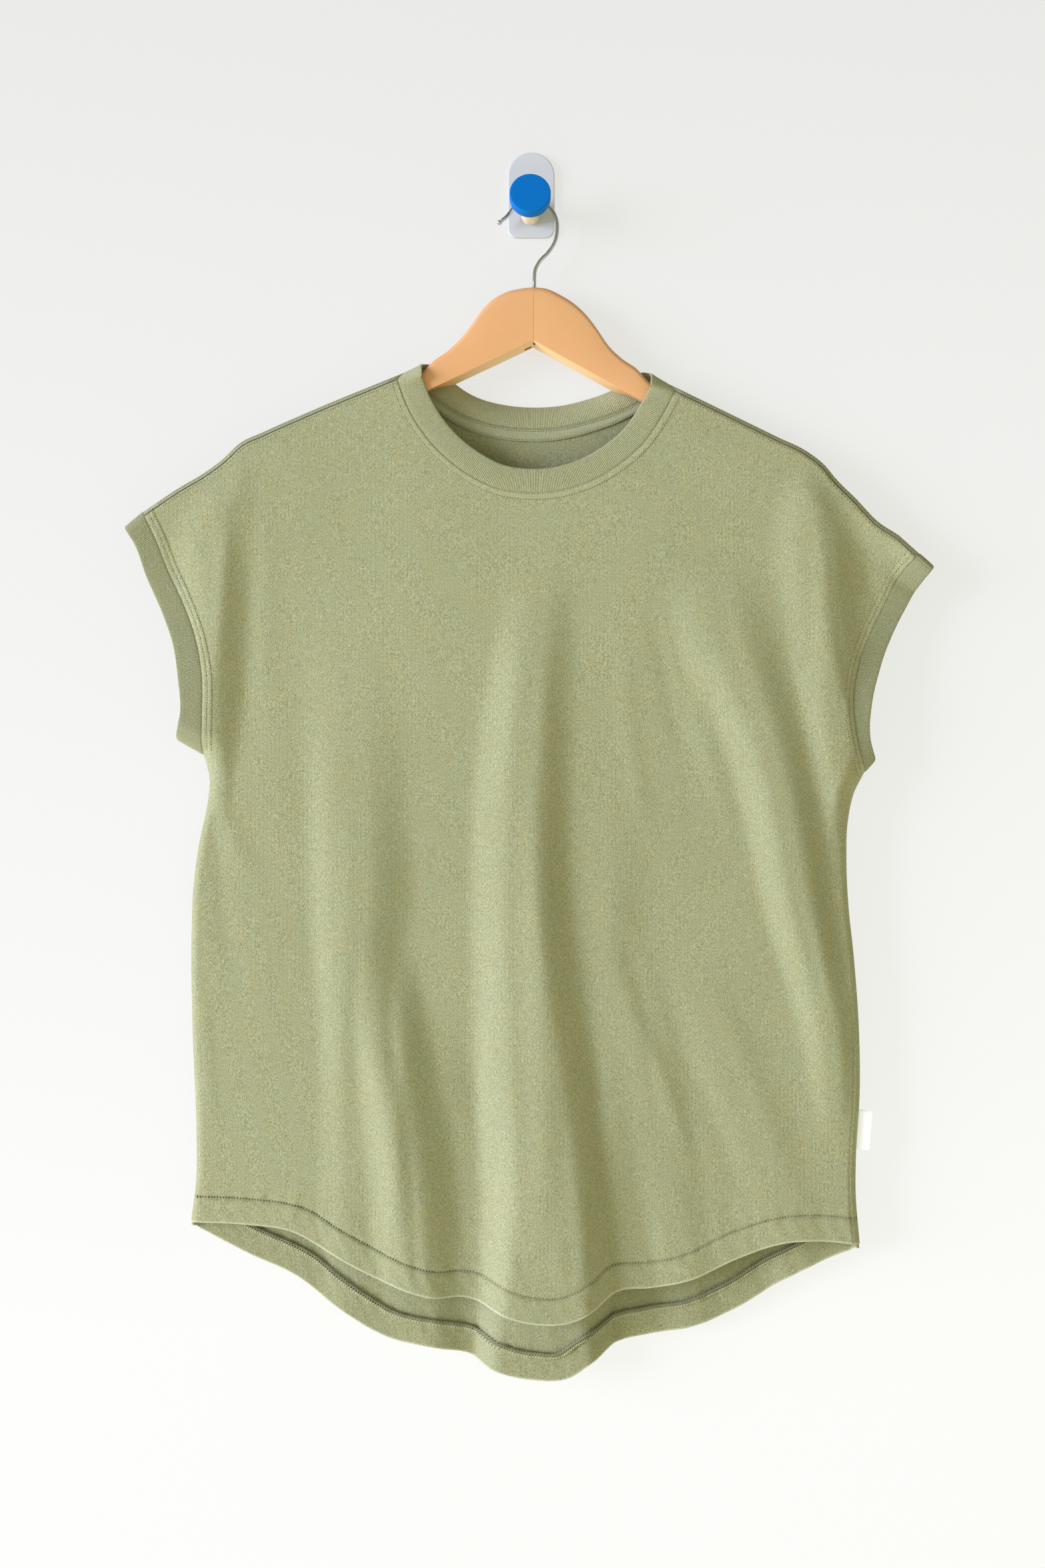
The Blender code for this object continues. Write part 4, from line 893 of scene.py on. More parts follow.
LEFT_ARM = rows_of(Arm, [
    (0.0, -76.6, -120.3), (-11.6, -78.0, -125.8), (-22.7, -81.2, -131.1), (-31.2, -86.1, -135.2),
    (-39.5, -93.8, -139.1), (-47.9, -105.7, -143.1), (-56.3, -116.8, -147.1), (-67.4, -127.5, -152.4),
    (-80.0, -136.8, -158.4), (-84.5, -141.4, -160.5), (-89.0, -144.8, -162.8)])
RIGHT_ARM = rows_of(Arm, [
    (0.0, -76.6, -120.3), (10.7, -78.0, -126.4), (21.9, -83.3, -132.7), (31.7, -89.6, -138.2),
    (41.4, -98.7, -143.6), (49.8, -109.8, -148.3), (58.2, -122.4, -153.0), (69.4, -133.5, -159.3),
    (82.0, -142.6, -166.4), (86.5, -147.9, -168.6), (91.0, -151.8, -170.9)])


def hanger_y(z):
    """Middle of the hanger at a height, in front of the wall."""
    return -HOOK_DEPTH + (z - HOOK_TOP) * tan(LEAN)


def wood_material(name, slope):
    """Oiled hardwood, its grain along an arm that slopes down at an angle."""
    nodes = Nodes(name, roughness=0.42)
    turned = nodes.place(turn=(0, slope, 0))
    grain = nodes.noise(nodes.stretch(turned, (7, 60, 95)), 5.0, detail=6, roughness=0.62)
    broad = nodes.noise(nodes.stretch(turned, (4, 14, 18)), 2.0, detail=2)
    shade = nodes.mix(nodes.spread(grain, 0.25, 0.75), colour(234, 176, 119), colour(238, 181, 125))
    shade = nodes.mix(nodes.spread(broad, 0.3, 0.7, 0.0, 0.6), shade, colour(235, 172, 117))
    pores = nodes.noise(nodes.stretch(turned, (30, 500, 700)), 2.0, detail=2)
    shade = nodes.mix(nodes.spread(pores, 0.62, 0.75, 0.0, 0.12), shade, colour(196, 132, 80))
    # painted shading: towards dark orange for painted shade, towards pale for a painted highlight
    tone = nodes.add("ShaderNodeAttribute", attribute_name="tone").outputs["Fac"]
    shade = nodes.mix(nodes.spread(tone, 0, -1), shade, colour(176, 98, 40))
    shade = nodes.mix(nodes.spread(tone, 0, 1), shade, colour(255, 226, 170))
    nodes.finish("Base Color", shade)
    nodes.finish("Coat Weight", 0.12)
    nodes.finish("Coat Roughness", 0.35)
    nodes.bump(grain, 0.00004, 0.4)
    return nodes.material


def rounded_section(x, top, bottom, half, lower, bare=0.0):
    """A section of an arm: round upper corners, and lower ones of a radius of their own.

    The fourth value is its painted shading: painted shade round the top edge, a painted highlight on the
    bare underside.
    """
    upper = min(WOOD_CORNER, half * 0.93, (top - bottom) * 0.4)
    lower = min(lower, upper)
    outline = []
    behind = min(WOOD_CORNER + (EDGE_CORNER - WOOD_CORNER) * bare, upper)
    for side_y, side_z, radius, begin in ((1, 1, upper, 0), (-1, 1, upper, 90), (-1, -1, lower, 180),
                                          (1, -1, behind, 270)):
        centre_y = side_y * (half - radius)
        centre_z = (top - radius) if side_z > 0 else (bottom + radius)
        for angle in range(begin, begin + 91, 15):
            turn = radians(angle)
            y = centre_y + radius * cos(turn)
            under = UNDER_FALL * bare * (0.5 + y / half / 2) if side_z < 0 else 0
            # painted shade round the top edge, and a painted highlight on the bare underside
            dark = -0.22 * smooth_step((sin(turn) - 0.3) / 0.7)
            tone = dark + 0.5 * bare * smooth_step((-sin(turn) - 0.5) / 0.3)
            outline.append((y, centre_z + radius * sin(turn) - under, tone))
    return [(x, hanger_y(z) + y, z, tone) for y, z, tone in outline]


def arm_stations(rows, columns, direction):
    """Top and bottom of an arm from the joint to its shoulder, at the same places as the solid."""
    stations = [Arm(row.x, row.top, row.bottom) for row in rows]
    last = rows[-1]
    fall = (last.bottom - rows[-2].bottom) / (last.x - rows[-2].x)
    end = direction * (ARM_TIP - TIP_ROUND)
    inner = [x - WOOD_MIDDLE for x in columns if abs(last.x) + 5 < abs(x) < ARM_TIP - 13]
    for step, x in enumerate(inner + [end], start=1):
        drop = TIP_DROP if x == end else WOOD_DROP
        place = x + WOOD_MIDDLE
        top = float(shoulder_height(place)) - drop * np.sqrt(1 + float(shoulder_slope(place)) ** 2)
        low = last.bottom + fall * (x - last.x)
        stations.append(Arm(x, top, low + (top - ARM_DEPTH - low) * smooth_step(step / 2)))
    return stations


def arm_sections(rows, columns, direction):
    """Sections from the joint to the tip: bare wood in the neck, then under the cloth."""
    stations = arm_stations(rows, columns, direction)
    top_at, bottom_at = column(stations, "x", "top"), column(stations, "x", "bottom")
    sections = []
    for reach in (JOINT_GAP / 2, 0.5, *np.linspace(1.5, ARM_TIP - TIP_ROUND, 89)):
        x = direction * reach
        covered = float(smooth_step((reach - COVERED[0]) / COVERED[1]))
        lower = EDGE_CORNER + (WOOD_CORNER - EDGE_CORNER) * covered
        section = rounded_section(WOOD_MIDDLE + x, float(top_at(x)), float(bottom_at(x)), WOOD_HALF, lower,
                                  1 - float(smooth_step((reach - BARE[0]) / BARE[1])))
        # darker at the joint, and painted shade on the bare underside where it nears the collar
        shade = -0.3 * (reach < 0.1) - 0.25 * smooth_step((reach - 30) / 50) * (1 - covered)
        sections.append([(*place, tone + shade * (reach < 0.1 or tone > 0)) for *place, tone in section])
    slope = float(shoulder_slope(WOOD_MIDDLE + x))
    for back_off, pinch in TIP_STEPS:
        level = stations[-1].top + slope * direction * (TIP_ROUND - back_off)
        sections.append(rounded_section(WOOD_MIDDLE + direction * (ARM_TIP - back_off), level - pinch,
                                        level - ARM_DEPTH + pinch, WOOD_HALF - pinch * 0.35, WOOD_CORNER))
    return sections


def make_arm(side, rows, columns, direction, slope):
    sections = np.array([[tuple(map(float, point)) for point in section]
                         for section in arm_sections(rows, columns, direction)])
    index = np.arange(sections.shape[0] * sections.shape[1]).reshape(sections.shape[:2])
    faces = [index[0].tolist(), index[-1][::-1].tolist()]
    around = np.concatenate([index, index[:, :1]], axis=1)
    faces += grid_faces(around, False).tolist()
    points = sections.reshape(-1, 4)
    made = mesh_piece("arm_" + side + "_wood", points[:, :3], faces, wood_material("wood_" + side, slope),
                      points[:, 3], ["arm_" + side])
    face_out(made)
    made.data.set_sharp_from_angle(angle=radians(28))


left_columns = [point.x for point in LEFT_SHOULDER[1:-2]][::-1]
right_columns = [point.x for point in RIGHT_SHOULDER[2:-1]]
make_arm("left", LEFT_ARM, left_columns, -1, ARM_SLOPE)
make_arm("right", RIGHT_ARM, right_columns, 1, -ARM_SLOPE)


def joint_slits():
    """Dark slivers in the underside at the middle, the open ends of the finger joint."""
    bm = bmesh.new()
    for x0, x1, share, wide in JOINT_SLITS:
        corners = []
        for x in (x0, x1):
            edge = LEFT_ARM[0].bottom - abs(x - WOOD_MIDDLE) * tan(ARM_SLOPE) * UNDERSIDE_SLOPE
            for y in (share - wide / 2, share + wide / 2):
                for z in (edge - SLIT_LOW, edge + SLIT_HIGH):
                    corners.append((x, hanger_y(edge) + (2 * y - 1) * WOOD_HALF, z - UNDER_FALL * y))
        bmesh.ops.convex_hull(bm, input=[bm.verts.new(Vector(corner)) for corner in corners])
    points = [tuple(vert.co) for vert in bm.verts]
    bm.verts.index_update()
    faces = [[vert.index for vert in face.verts] for face in bm.faces]
    bm.free()
    mesh_piece("arm_joint_slits", points, faces,
               plain_material("joint_shadow", colour(120, 72, 30), 0.9))


joint_slits()
WOOD_LINES = [[column(stations, "x", key) for key in ("top", "bottom")] for stations in (
    arm_stations(LEFT_ARM, left_columns, -1), arm_stations(RIGHT_ARM, right_columns, 1))]


def off_wood(places, clear):
    """How far places in the neck have to move to stand clear of the hanger's arms."""
    x, y, z = places.T
    x = x - WOOD_MIDDLE
    top, bottom = (np.where(x < 0, left(x), right(x)) for left, right in zip(*WOOD_LINES))
    away = np.stack([y - hanger_y(z), (z - (top + bottom) / 2) * cos(ARM_SLOPE)])
    half = np.stack([np.full_like(x, WOOD_HALF), (top - bottom) / 2 * cos(ARM_SLOPE)])
    past = np.abs(away) - (half - WOOD_CORNER)
    out = np.maximum(past, 0)
    distance = np.hypot(*out) + np.minimum(past.max(axis=0), 0) - WOOD_CORNER
    short = np.clip(clear - distance, 0, 4) * (np.abs(x) < 150) * (distance > -4)
    way = np.sign(away) * out / np.maximum(np.hypot(*out), 0.01)
    return np.stack([0 * x, way[0] * short, way[1] * short], axis=1)


# %% [markdown]
# The collar and the cuffs are bands of 1 by 1 rib knit, folded double and sewn on by their raw edges.
# Rib is what lets them stretch, and its ridges are real geometry here, one every 1.4 mm round the
# neck, because they catch the light along the fold. Each band follows its panel's edge, starts a
# little inside the panel's wall, and swells to its full thickness just past the seam. Where the
# collar passes the hanger, it is moved until it stands clear of the wood.

# %% Rib bands
RIB_THICK = 2.0
RIB_STEPS = 5                    # points across one rib
RIB_RISE = 0.42
COLLAR_WIDTH = 19.0
BACK_NECK_LEAN = 24.0            # degrees that the collar leans to the wall at the back
NECK_POINT_LIFT = 0.12           # at the neck points the collar stands up
NECK_POINT_SHORT = 5.5           # and its fold draws in
NECK_POINT_DROP = 12             # below this far under the shoulder line it is an even band
COLLAR_SOFT, PEAK_SOFT = 80, 20  # rounds of smoothing
COLLAR_PITCH, CUFF_PITCH = 1.4, 1.3
# the cuffs are painted darker, as painted shade where they turn away from the light; the collar is painted
# lighter, against the painted shade in its grooves
COLLAR_SHADE, CUFF_SHADE = 0.12, -0.06
WOOD_CLEAR = 1.65                # from the middle of the rib to the wood
BAND_BASE = ((-1.2, 0.42), (0.0, 0.48), (0.6, 0.82), (1.5, 1.0))


def surface_normals(surface):
    """Outward direction at each point of a panel's form, before its seams are raised."""
    a, b, c, d = (surface.form[surface.faces[:, corner]] for corner in range(4))
    across = np.cross(c - a, d - b)
    across /= np.maximum(np.linalg.norm(across, axis=1, keepdims=True), 1e-9)
    normals = np.zeros_like(surface.form)
    for corner in range(4):
        np.add.at(normals, surface.faces[:, corner], across)
    return unit(normals)


def ring_length(ring):
    return np.linalg.norm(np.roll(ring, -1, axis=0) - ring, axis=1).sum()


def even_ring(count, first, *others):
    """Closed rings of values, taken again at even steps along the first one."""
    closed = np.concatenate([first, first[:1]])
    along = distances_along(closed)
    where = np.linspace(0, along[-1], count, endpoint=False)
    return [np.stack([np.interp(where, along, np.append(ring[:, axis], ring[0, axis]))
                      for axis in range(ring.shape[1])], axis=1) for ring in (first, *others)]


def soften(ring, times):
    for _ in range(times):
        ring = (np.roll(ring, 1, axis=0) + 2 * ring + np.roll(ring, -1, axis=0)) / 4
    return ring


def band_rows(width):
    """Section of a folded band, up one side to the fold: reach from the seam and half thickness."""
    rows = [(np.full_like(width, reach), side) for reach, side in BAND_BASE]
    start, half = BAND_BASE[-1][0], RIB_THICK / 2
    for share in np.linspace(0, 1, 7)[1:]:
        rows.append((start + share * (width - half - start), 1.0 + 0.1 * sin(pi * share)))
    for angle in (35, 65):
        rows.append((width - half + half * sin(radians(angle)), cos(radians(angle))))
    return rows


def rib_band(name, shade, seam, outward, width, lean, pitch, nodes):
    """A closed ring of folded rib that stands out from a ring of seam points."""
    count = round(ring_length(seam) / pitch) * RIB_STEPS
    seam, outward, sizes = even_ring(count, seam, outward, np.stack([width, lean], axis=1))
    outward = unit(soften(outward, 6))
    width, lean = sizes[:, 0], sizes[:, 1]
    tangent = np.roll(seam, -4, axis=0) - np.roll(seam, 4, axis=0)
    normal = unit(soften(np.cross(outward, tangent), 6))
    ridge = np.sin(pi * (np.arange(count) % RIB_STEPS) / RIB_STEPS)
    half = [(reach, side, smooth_step((reach - 0.2) / 1.2)) for reach, side in band_rows(width)]
    edge_row = (width + 0.25 * (ridge - 0.5), 0.0, np.ones(count))
    section = [(reach, -side, mask) for reach, side, mask in half] + [edge_row] + half[::-1]
    points, tone = [], []
    for reach, side, mask in section:
        rise = RIB_RISE * (ridge - 0.6) * mask * np.sign(side)
        tip = (reach / width) ** 2 * width * np.tan(lean)
        middle = seam + outward * reach[:, None] + normal * tip[:, None]
        for _ in range(3):
            middle = middle + soften(off_wood(middle, WOOD_CLEAR), 60)
        points.append(middle + normal * (side * RIB_THICK / 2 + rise)[:, None])
        # painted shade in the grooves between ribs and along the band's foot at the seam
        tone.append(shade - 0.52 * (1 - ridge) ** 2 * mask - 0.34 * (1 - mask))
    index = np.arange(len(section) * count).reshape(len(section), count)
    index = np.concatenate([index, index[:, :1]], axis=1)
    index = np.concatenate([index, index[:1]], axis=0)
    made = mesh_piece(name, np.concatenate(points), grid_faces(index, False), rib,
                      np.concatenate(tone), nodes)
    face_out(made)
    print(f"{name}: {count // RIB_STEPS} ribs round {ring_length(seam):.0f} mm")
    return made, ring_length(seam)


def make_collar(front, back):
    front_normals, back_normals = surface_normals(front), surface_normals(back)
    numbers = back.edges["right neck over"][::-1] + back.edges["neck"][::-1] + back.edges["left neck over"]
    normals = np.concatenate([front_normals[front.edges["neck"]], back_normals[numbers]])
    seam = np.concatenate([front.points[front.edges["neck"]], back.points[numbers]]) - normals * WALL / 2
    seam, normals = even_ring(600, seam, normals)
    seam = soften(seam, 3)
    tangent = np.roll(seam, -1, axis=0) - np.roll(seam, 1, axis=0)
    under = shoulder_height(seam[:, 0]) - seam[:, 2]
    peak = smooth_step(1 - under / NECK_POINT_DROP) * smooth_step((normals[:, 1] + 0.6) / 0.6)
    peak = soften(peak[:, None], PEAK_SOFT)
    outward = soften(unit(np.cross(normals, tangent)), COLLAR_SOFT)
    outward = unit(outward + np.array([0, 0, NECK_POINT_LIFT]) * peak)
    behind = smooth_step((normals[:, 1] - 0.5) / 0.4)
    reach = np.clip(1 - np.abs(seam[:, 0] - WOOD_MIDDLE) / 100, 0, 1)
    lean = -radians(BACK_NECK_LEAN) * behind * smooth_step(reach * 2)
    width = COLLAR_WIDTH - NECK_POINT_SHORT * peak[:, 0]
    return rib_band("collar_rib", COLLAR_SHADE, seam, outward, width, lean, COLLAR_PITCH, ["collar"])


def make_cuff(side, armhole, front, back):
    numbers = back.edges[side][::-1] + back.edges[side + " over"]
    normals = np.concatenate([surface_normals(front)[front.edges[side]], surface_normals(back)[numbers]])
    points = np.concatenate([front.points[front.edges[side]], back.points[numbers]])
    seam_length, seam_at = smooth_line(seam_line(armhole))
    edge_length, edge_at = smooth_line([(row.edge_x, row.edge_z) for row in armhole])
    distances = np.linspace(0, seam_length, 600)
    on_seam, on_edge = seam_at(distances), edge_at(edge_length * distances / seam_length)
    nearest = ((points[:, None, [0, 2]] - on_seam[None]) ** 2).sum(axis=2).argmin(axis=1)
    reach = on_edge[nearest] - on_seam[nearest]
    width = np.linalg.norm(reach, axis=1)
    outward = np.stack([reach[:, 0] / width, np.zeros(len(width)), reach[:, 1] / width], axis=1)
    facing = np.clip(np.sum(normals * outward, axis=1), 0, 1)
    seam = points - normals * (WALL / 2 * (1 - facing))[:, None]
    return rib_band("cuff_" + side + "_rib", CUFF_SHADE, seam, outward, width, np.zeros(len(width)),
                    CUFF_PITCH, ["cuff_" + side])


collar_rib, collar_length = make_collar(front_surface, back_surface)
left_rib, left_length = make_cuff("left", LEFT_ARMHOLE, front_surface, back_surface)
right_rib, right_length = make_cuff("right", RIGHT_ARMHOLE, front_surface, back_surface)


# %% [markdown]
# A tape covers the collar seam inside the back neck, so that the raw edges don't rub, and a folded
# label stands out of the right side seam. The tape is laid from the back panel's own points, moved
# in by the wall. The label is left bare.

# %% Neck tape and label
TAPE_THICK = 0.9
TAPE_TOP = 1.0
TAPE_WIDTH = 9.5
TAPE_STITCHES = (0.12, 0.88)     # places of its two rows, as shares of its width
LABEL_TOP = -720.9
LABEL_HEIGHT = 30.7
LABEL_WIDTH = 10.8
LABEL_THICK = 0.9
LABEL_PAINTED_LIGHT = 0.42                # a glow that lifts the white label out of the shirt's shadow: painted light, as the label is no lamp


def tape_place(down):
    """Points and directions along the back neck, a distance below its seam, on the inner face."""
    normals = surface_normals(back_surface)
    neck = back_surface.edges["neck"][6:-6]
    first = list(back_surface.index[0]).index(neck[0])
    columns = range(first, first + len(neck))
    inside = WALL + 0.3 + TAPE_THICK
    places, facing = [], []
    for col in columns:
        line = back_surface.points[back_surface.index[:24, col]]
        along = distances_along(line)
        out = normals[back_surface.index[6, col]]
        place = np.array([np.interp(down, along, line[:, axis]) for axis in range(3)])
        places.append(place - out * inside)
        facing.append(-out)
    return np.array(places), np.array(facing)


def make_tape():
    downs = np.linspace(TAPE_TOP, TAPE_TOP + TAPE_WIDTH, 15)
    rows, painted_shading_rows = [], []
    for down in downs:
        places, facing = tape_place(down)
        share = (down - TAPE_TOP) / TAPE_WIDTH
        pad = 0.35 * sin(pi * share)
        for row in TAPE_STITCHES:
            pad -= 0.3 * (abs(share - row) < 0.04)
        rows.append(places + facing * pad)
        # painted shade in the stitch rows, and a little painted light on the padded band
        painted_shading_rows.append(np.full(len(places), -0.12 if pad < 0 else 0.05))
    grid = np.array(rows)
    index = np.arange(grid.shape[0] * grid.shape[1]).reshape(grid.shape[:2])
    made = mesh_piece("neck_tape_cloth", grid.reshape(-1, 3), grid_faces(index, False), tape_cloth,
                      np.concatenate(painted_shading_rows), ["neck_tape"])
    wall = made.modifiers.new("thickness", "SOLIDIFY")
    wall.thickness = TAPE_THICK * MM
    wall.offset = -1
    return apply_modifiers(made)


def label_material():
    nodes = Nodes("label_cloth", roughness=0.6)
    weave = nodes.add("ShaderNodeTexWave", {
        "Vector": nodes.place(), "Scale": 2600 / (2 * pi), "Distortion": 0.4}, bands_direction="Z")
    weave = weave.outputs["Fac"]
    nodes.finish("Base Color", nodes.mix(nodes.maths("MULTIPLY", weave, 0.3), colour(252, 251, 253),
                                         colour(226, 225, 230)))
    nodes.bump(weave, 0.0001, 0.5)
    # painted light: the label glows, to stand bright in the shirt's shadow
    nodes.finish("Emission Color", colour(252, 252, 255))
    nodes.finish("Emission Strength", LABEL_PAINTED_LIGHT)
    return nodes.material


def make_label():
    """A folded strip, its fold away from the seam, a little bowed."""
    profile = [
        (0, -1), (0.5, -1), (0.88, -1), (0.97, -0.6), (1, 0), (0.97, 0.6), (0.88, 1), (0.5, 1), (0, 1)]
    points = []
    levels = np.linspace(0, 1, 14)
    for down in levels:
        z = LABEL_TOP - down * LABEL_HEIGHT
        seam_x, seam_y = float(right_side_x(z)) + 0.2, float(middle_y(z))
        bow = 0.5 * sin(pi * down)
        points += [(seam_x + out * (LABEL_WIDTH - 0.6 * down), seam_y - bow * out + side * LABEL_THICK / 2,
                    z - 1.6 * out) for out, side in profile]
    index = np.arange(len(points)).reshape(len(levels), len(profile))
    index = np.concatenate([index, index[:, :1]], axis=1)
    faces = grid_faces(index, False).tolist()
    faces += [index[0, :-1].tolist(), index[-1, :-1][::-1].tolist()]
    made = mesh_piece("side_label_cloth", points, faces, label_material(), None,
                      ["side_label"])
    face_out(made)
    return made


tape = make_tape()
label = make_label()
print("tape and label made")

# %% [markdown]
# Stitches are short bars of thread that dip into the cloth at each end, so a row of topstitching
# reads as light bars with dark needle holes between them; the holes are small dark bars of painted
# shade. Each row is a line at a set distance from a seam, laid on the cloth's own form, and all the
# bars of one thread are one mesh.

# %% Stitch rows
Row = namedtuple("Row", "places along out")
BAR_SIDES = 5
BAR_RINGS = ((-0.8, 0.75), (-0.3, 1.0), (0.3, 1.0), (0.8, 0.75))
PITCH = 2.1


TREES = {
    panel: BVHTree.FromPolygons(surface.points.tolist(), surface.faces.tolist())
    for panel, surface in (("front", front_surface), ("back", back_surface))}


def on_cloth(panel, x, z):
    """Places on a panel's outer face, and the directions that they face."""
    side = -1 if panel == "front" else 1
    slope_x = depth(x + 0.5, z, panel) - depth(x - 0.5, z, panel)
    slope_z = depth(x, z + 0.5, panel) - depth(x, z - 0.5, panel)
    out = unit(np.stack([-side * slope_x, np.full_like(x, side), -side * slope_z], axis=1))
    places = []
    for across, up in zip(x, z):
        hit = TREES[panel].ray_cast(Vector((across, side * 100, up)), Vector((0, -side, 0)))[0]
        places.append(hit if hit else (across, float(depth(np.array(across), np.array(up), panel)), up))
    return np.array(places), out


def beside(points, distance, pitch):
    """Places in the x-z plane along a line moved to its right by a distance, a pitch apart."""
    line = dense(points, 0.5)
    way = unit(np.gradient(line, axis=0))
    moved = line + np.stack([way[:, 1], -way[:, 0]], axis=1) * distance
    along = distances_along(moved)
    where = np.arange(pitch, along[-1] - pitch / 2, pitch)
    return np.interp(where, along, moved[:, 0]), np.interp(where, along, moved[:, 1])


def cloth_row(panel, x, z):
    places, out = on_cloth(panel, x, z)
    return Row(places, unit(np.gradient(places, axis=0)), out)


def between(row):
    """The places midway between those of a row."""
    def middle(values):
        return (values[1:] + values[:-1]) / 2
    return Row(middle(row.places), unit(middle(row.along)), unit(middle(row.out)))


def bars(rows, length, wide, high, lift=0.0):
    """Points and faces of small rounded bars, one at each place of each row."""
    places = np.concatenate([row.places for row in rows])
    along = np.concatenate([row.along for row in rows])
    out = np.concatenate([row.out for row in rows])
    across = unit(np.cross(along, out))
    wide = np.broadcast_to(wide, len(places))[:, None]
    points = [places + out * lift - along * length / 2]
    for share, size in BAR_RINGS:
        for side in range(BAR_SIDES):
            turn = 2 * pi * side / BAR_SIDES
            points.append(places + along * share * length / 2 + out * (lift + high * size * sin(turn))
                          + across * (wide * size * cos(turn)))
    points.append(places + out * lift + along * length / 2)
    per_bar = len(points)
    points = np.stack(points, axis=1).reshape(-1, 3)
    faces = []
    for side in range(BAR_SIDES):
        here, there = 1 + side, 1 + (side + 1) % BAR_SIDES
        faces.append([0, there, here])
        for ring in range(len(BAR_RINGS) - 1):
            base = ring * BAR_SIDES
            faces.append([base + here, base + there, base + there + BAR_SIDES, base + here + BAR_SIDES])
        base = (len(BAR_RINGS) - 1) * BAR_SIDES
        faces.append([base + here, base + there, per_bar - 1])
    return points, [[start + corner for corner in face]
                    for start in range(0, len(points), per_bar) for face in faces]


def sew(name, rows, bar_material):
    """One row set: bars of thread with a small dark bar of painted shade, for a needle hole, between each
    two.
    """
    points, faces = bars(rows, PITCH * 0.62, 0.34, 0.26, 0.05)
    made = mesh_piece(name, points, faces, bar_material)
    points, faces = bars([between(row) for row in rows], PITCH * 0.42, 0.30, 0.14, 0.0)
    mesh_piece(name + "_holes", points, faces, painted_hole_shade)
    print(f"{name}: {len(made.data.polygons) // (BAR_SIDES * 5)} stitches")


def shoulder_row(side, below):
    """Row along a shoulder on the roll over the hanger, a distance below its top line."""
    start, stop = (-292, -108) if side == "left" else (117, 290)
    xz = shoulder_points(np.arange(start, stop, PITCH), below)
    out_share = 1 - below / TOP_ROLL
    turn = np.arcsin(out_share)
    y = middle_y(xz[:, 1]) - (TOP_ROLL + SIDE_GAP / 2) * cos(turn)
    places = np.stack([xz[:, 0], y, xz[:, 1]], axis=1)
    along = unit(np.gradient(places, axis=0))
    out = unit(np.cross(along, np.cross([0.0, -cos(turn), sin(turn)], along)))
    return Row(places, along, out)


neck_rows = [cloth_row("front", *beside(FRONT_NECK, NECK_STITCH, PITCH)),
             cloth_row("back", *beside(BACK_NECK, NECK_STITCH, PITCH))]
armhole_rows = [
    cloth_row(panel, *beside(seam_line(armhole), side * distance, PITCH))
    for armhole, side in ((LEFT_ARMHOLE, -1), (RIGHT_ARMHOLE, 1))
    for distance in CUFF_STITCHES for panel in ("front", "back")]
SEAM_BELOW = TOP_ROLL * (1 - sin(radians(SHOULDER_SEAM)))
STRIP_BELOW = TOP_ROLL * (1 - sin(radians(52)))
shoulder_rows = [shoulder_row("left", STRIP_BELOW), shoulder_row("right", STRIP_BELOW)]
shoulder_rows += [
    cloth_row("front", *shoulder_points(np.arange(start, stop, PITCH), SEAM_BELOW + 1.9).T)
    for start, stop in ((-290, -110), (119, 289))]
tape_rows = []
for share in TAPE_STITCHES:
    places, facing = tape_place(TAPE_TOP + share * TAPE_WIDTH)
    count = int(np.linalg.norm(np.diff(places, axis=0), axis=1).sum() / PITCH)
    knots = np.linspace(0, 1, len(places))
    where = np.linspace(0.01, 0.99, count)
    even = [np.stack([np.interp(where, knots, values[:, axis]) for axis in range(3)], axis=1)
            for values in (places, facing)]
    tape_rows.append(Row(even[0], unit(np.gradient(even[0], axis=0)), unit(even[1])))
sew("neck_stitches", neck_rows, thread)
sew("armhole_stitches", armhole_rows, thread)
sew("shoulder_stitches", shoulder_rows, thread)
sew("tape_stitches", tape_rows, thread)

# %% [markdown]
# The hem is turned up once and sewn with a machine that leaves two needle lines outside and covers
# the raw edge inside. From outside it shows as a ladder of small slots, where the needles pull the
# knit open; their dark is painted shade, on small dark bars. Inside, below the front's hem, the back's
# cover stitch shows as a braided cord: darker loops over the raw edge and a lighter chain under them.

# %% Hem stitches
HEM_PITCH = 2.27
SLOT_LENGTH = 3.0
COVER_HIGH, COVER_LOW = 22.4, 19.4
CHAIN_UP = 18.2
LOOP_RADIUS = 0.46


def hem_places(panel, up, pitch=HEM_PITCH):
    """Places along a panel's hem, a height above its edge."""
    line = hem_line[panel]
    xs = np.linspace(HEM[0].x + 3, HEM[-1].x - 3, 1200)
    slope = line(xs + 0.5) - line(xs - 0.5)
    length = np.sqrt(1 + slope ** 2)
    x, z = xs - up * slope / length, line(xs) + up / length
    along = np.concatenate([[0], np.cumsum(np.hypot(np.diff(x), np.diff(z)))])
    where = np.arange(pitch, along[-1] - pitch, pitch)
    return np.interp(where, along, x), np.interp(where, along, z)


def hem_slots():
    """Slots of painted shade that stand across the stitch line, widest to the left."""
    rows, wide = [], []
    for panel in ("front", "back"):
        row = cloth_row(panel, *hem_places(panel, HEM_HEIGHT))
        across = unit(np.cross(row.out, row.along))
        rows.append(Row(row.places, across, row.out))
        wide.append(0.19 + 0.40 * smooth_step((-row.places[:, 0] - 20) / 60))
    points, faces = bars(rows, SLOT_LENGTH, np.concatenate(wide), 0.16, 0.04)
    mesh_piece("hem_slots", points, faces, painted_hole_shade)


def inner_places(x, z, lift):
    places, out = on_cloth("back", x, z)
    return places - out * (HEM_WALL + lift), -out


def tube(name, path, radius, rounds, caps, material):
    """A round tube along a path of places in millimetres, its ends closed if caps is true."""
    curve = bpy.data.curves.new(name, "CURVE")
    curve.dimensions = "3D"
    curve.bevel_depth = radius * MM
    curve.bevel_resolution = rounds
    curve.use_fill_caps = caps
    spline = curve.splines.new("POLY")
    spline.points.add(len(path) - 1)
    for point, place in zip(spline.points, path):
        point.co = (*(np.asarray(place) * MM), 1.0)
    curve.materials.append(material)
    made = bpy.data.objects.new(name, curve)
    scene.collection.objects.link(made)
    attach(made, "root")
    return made


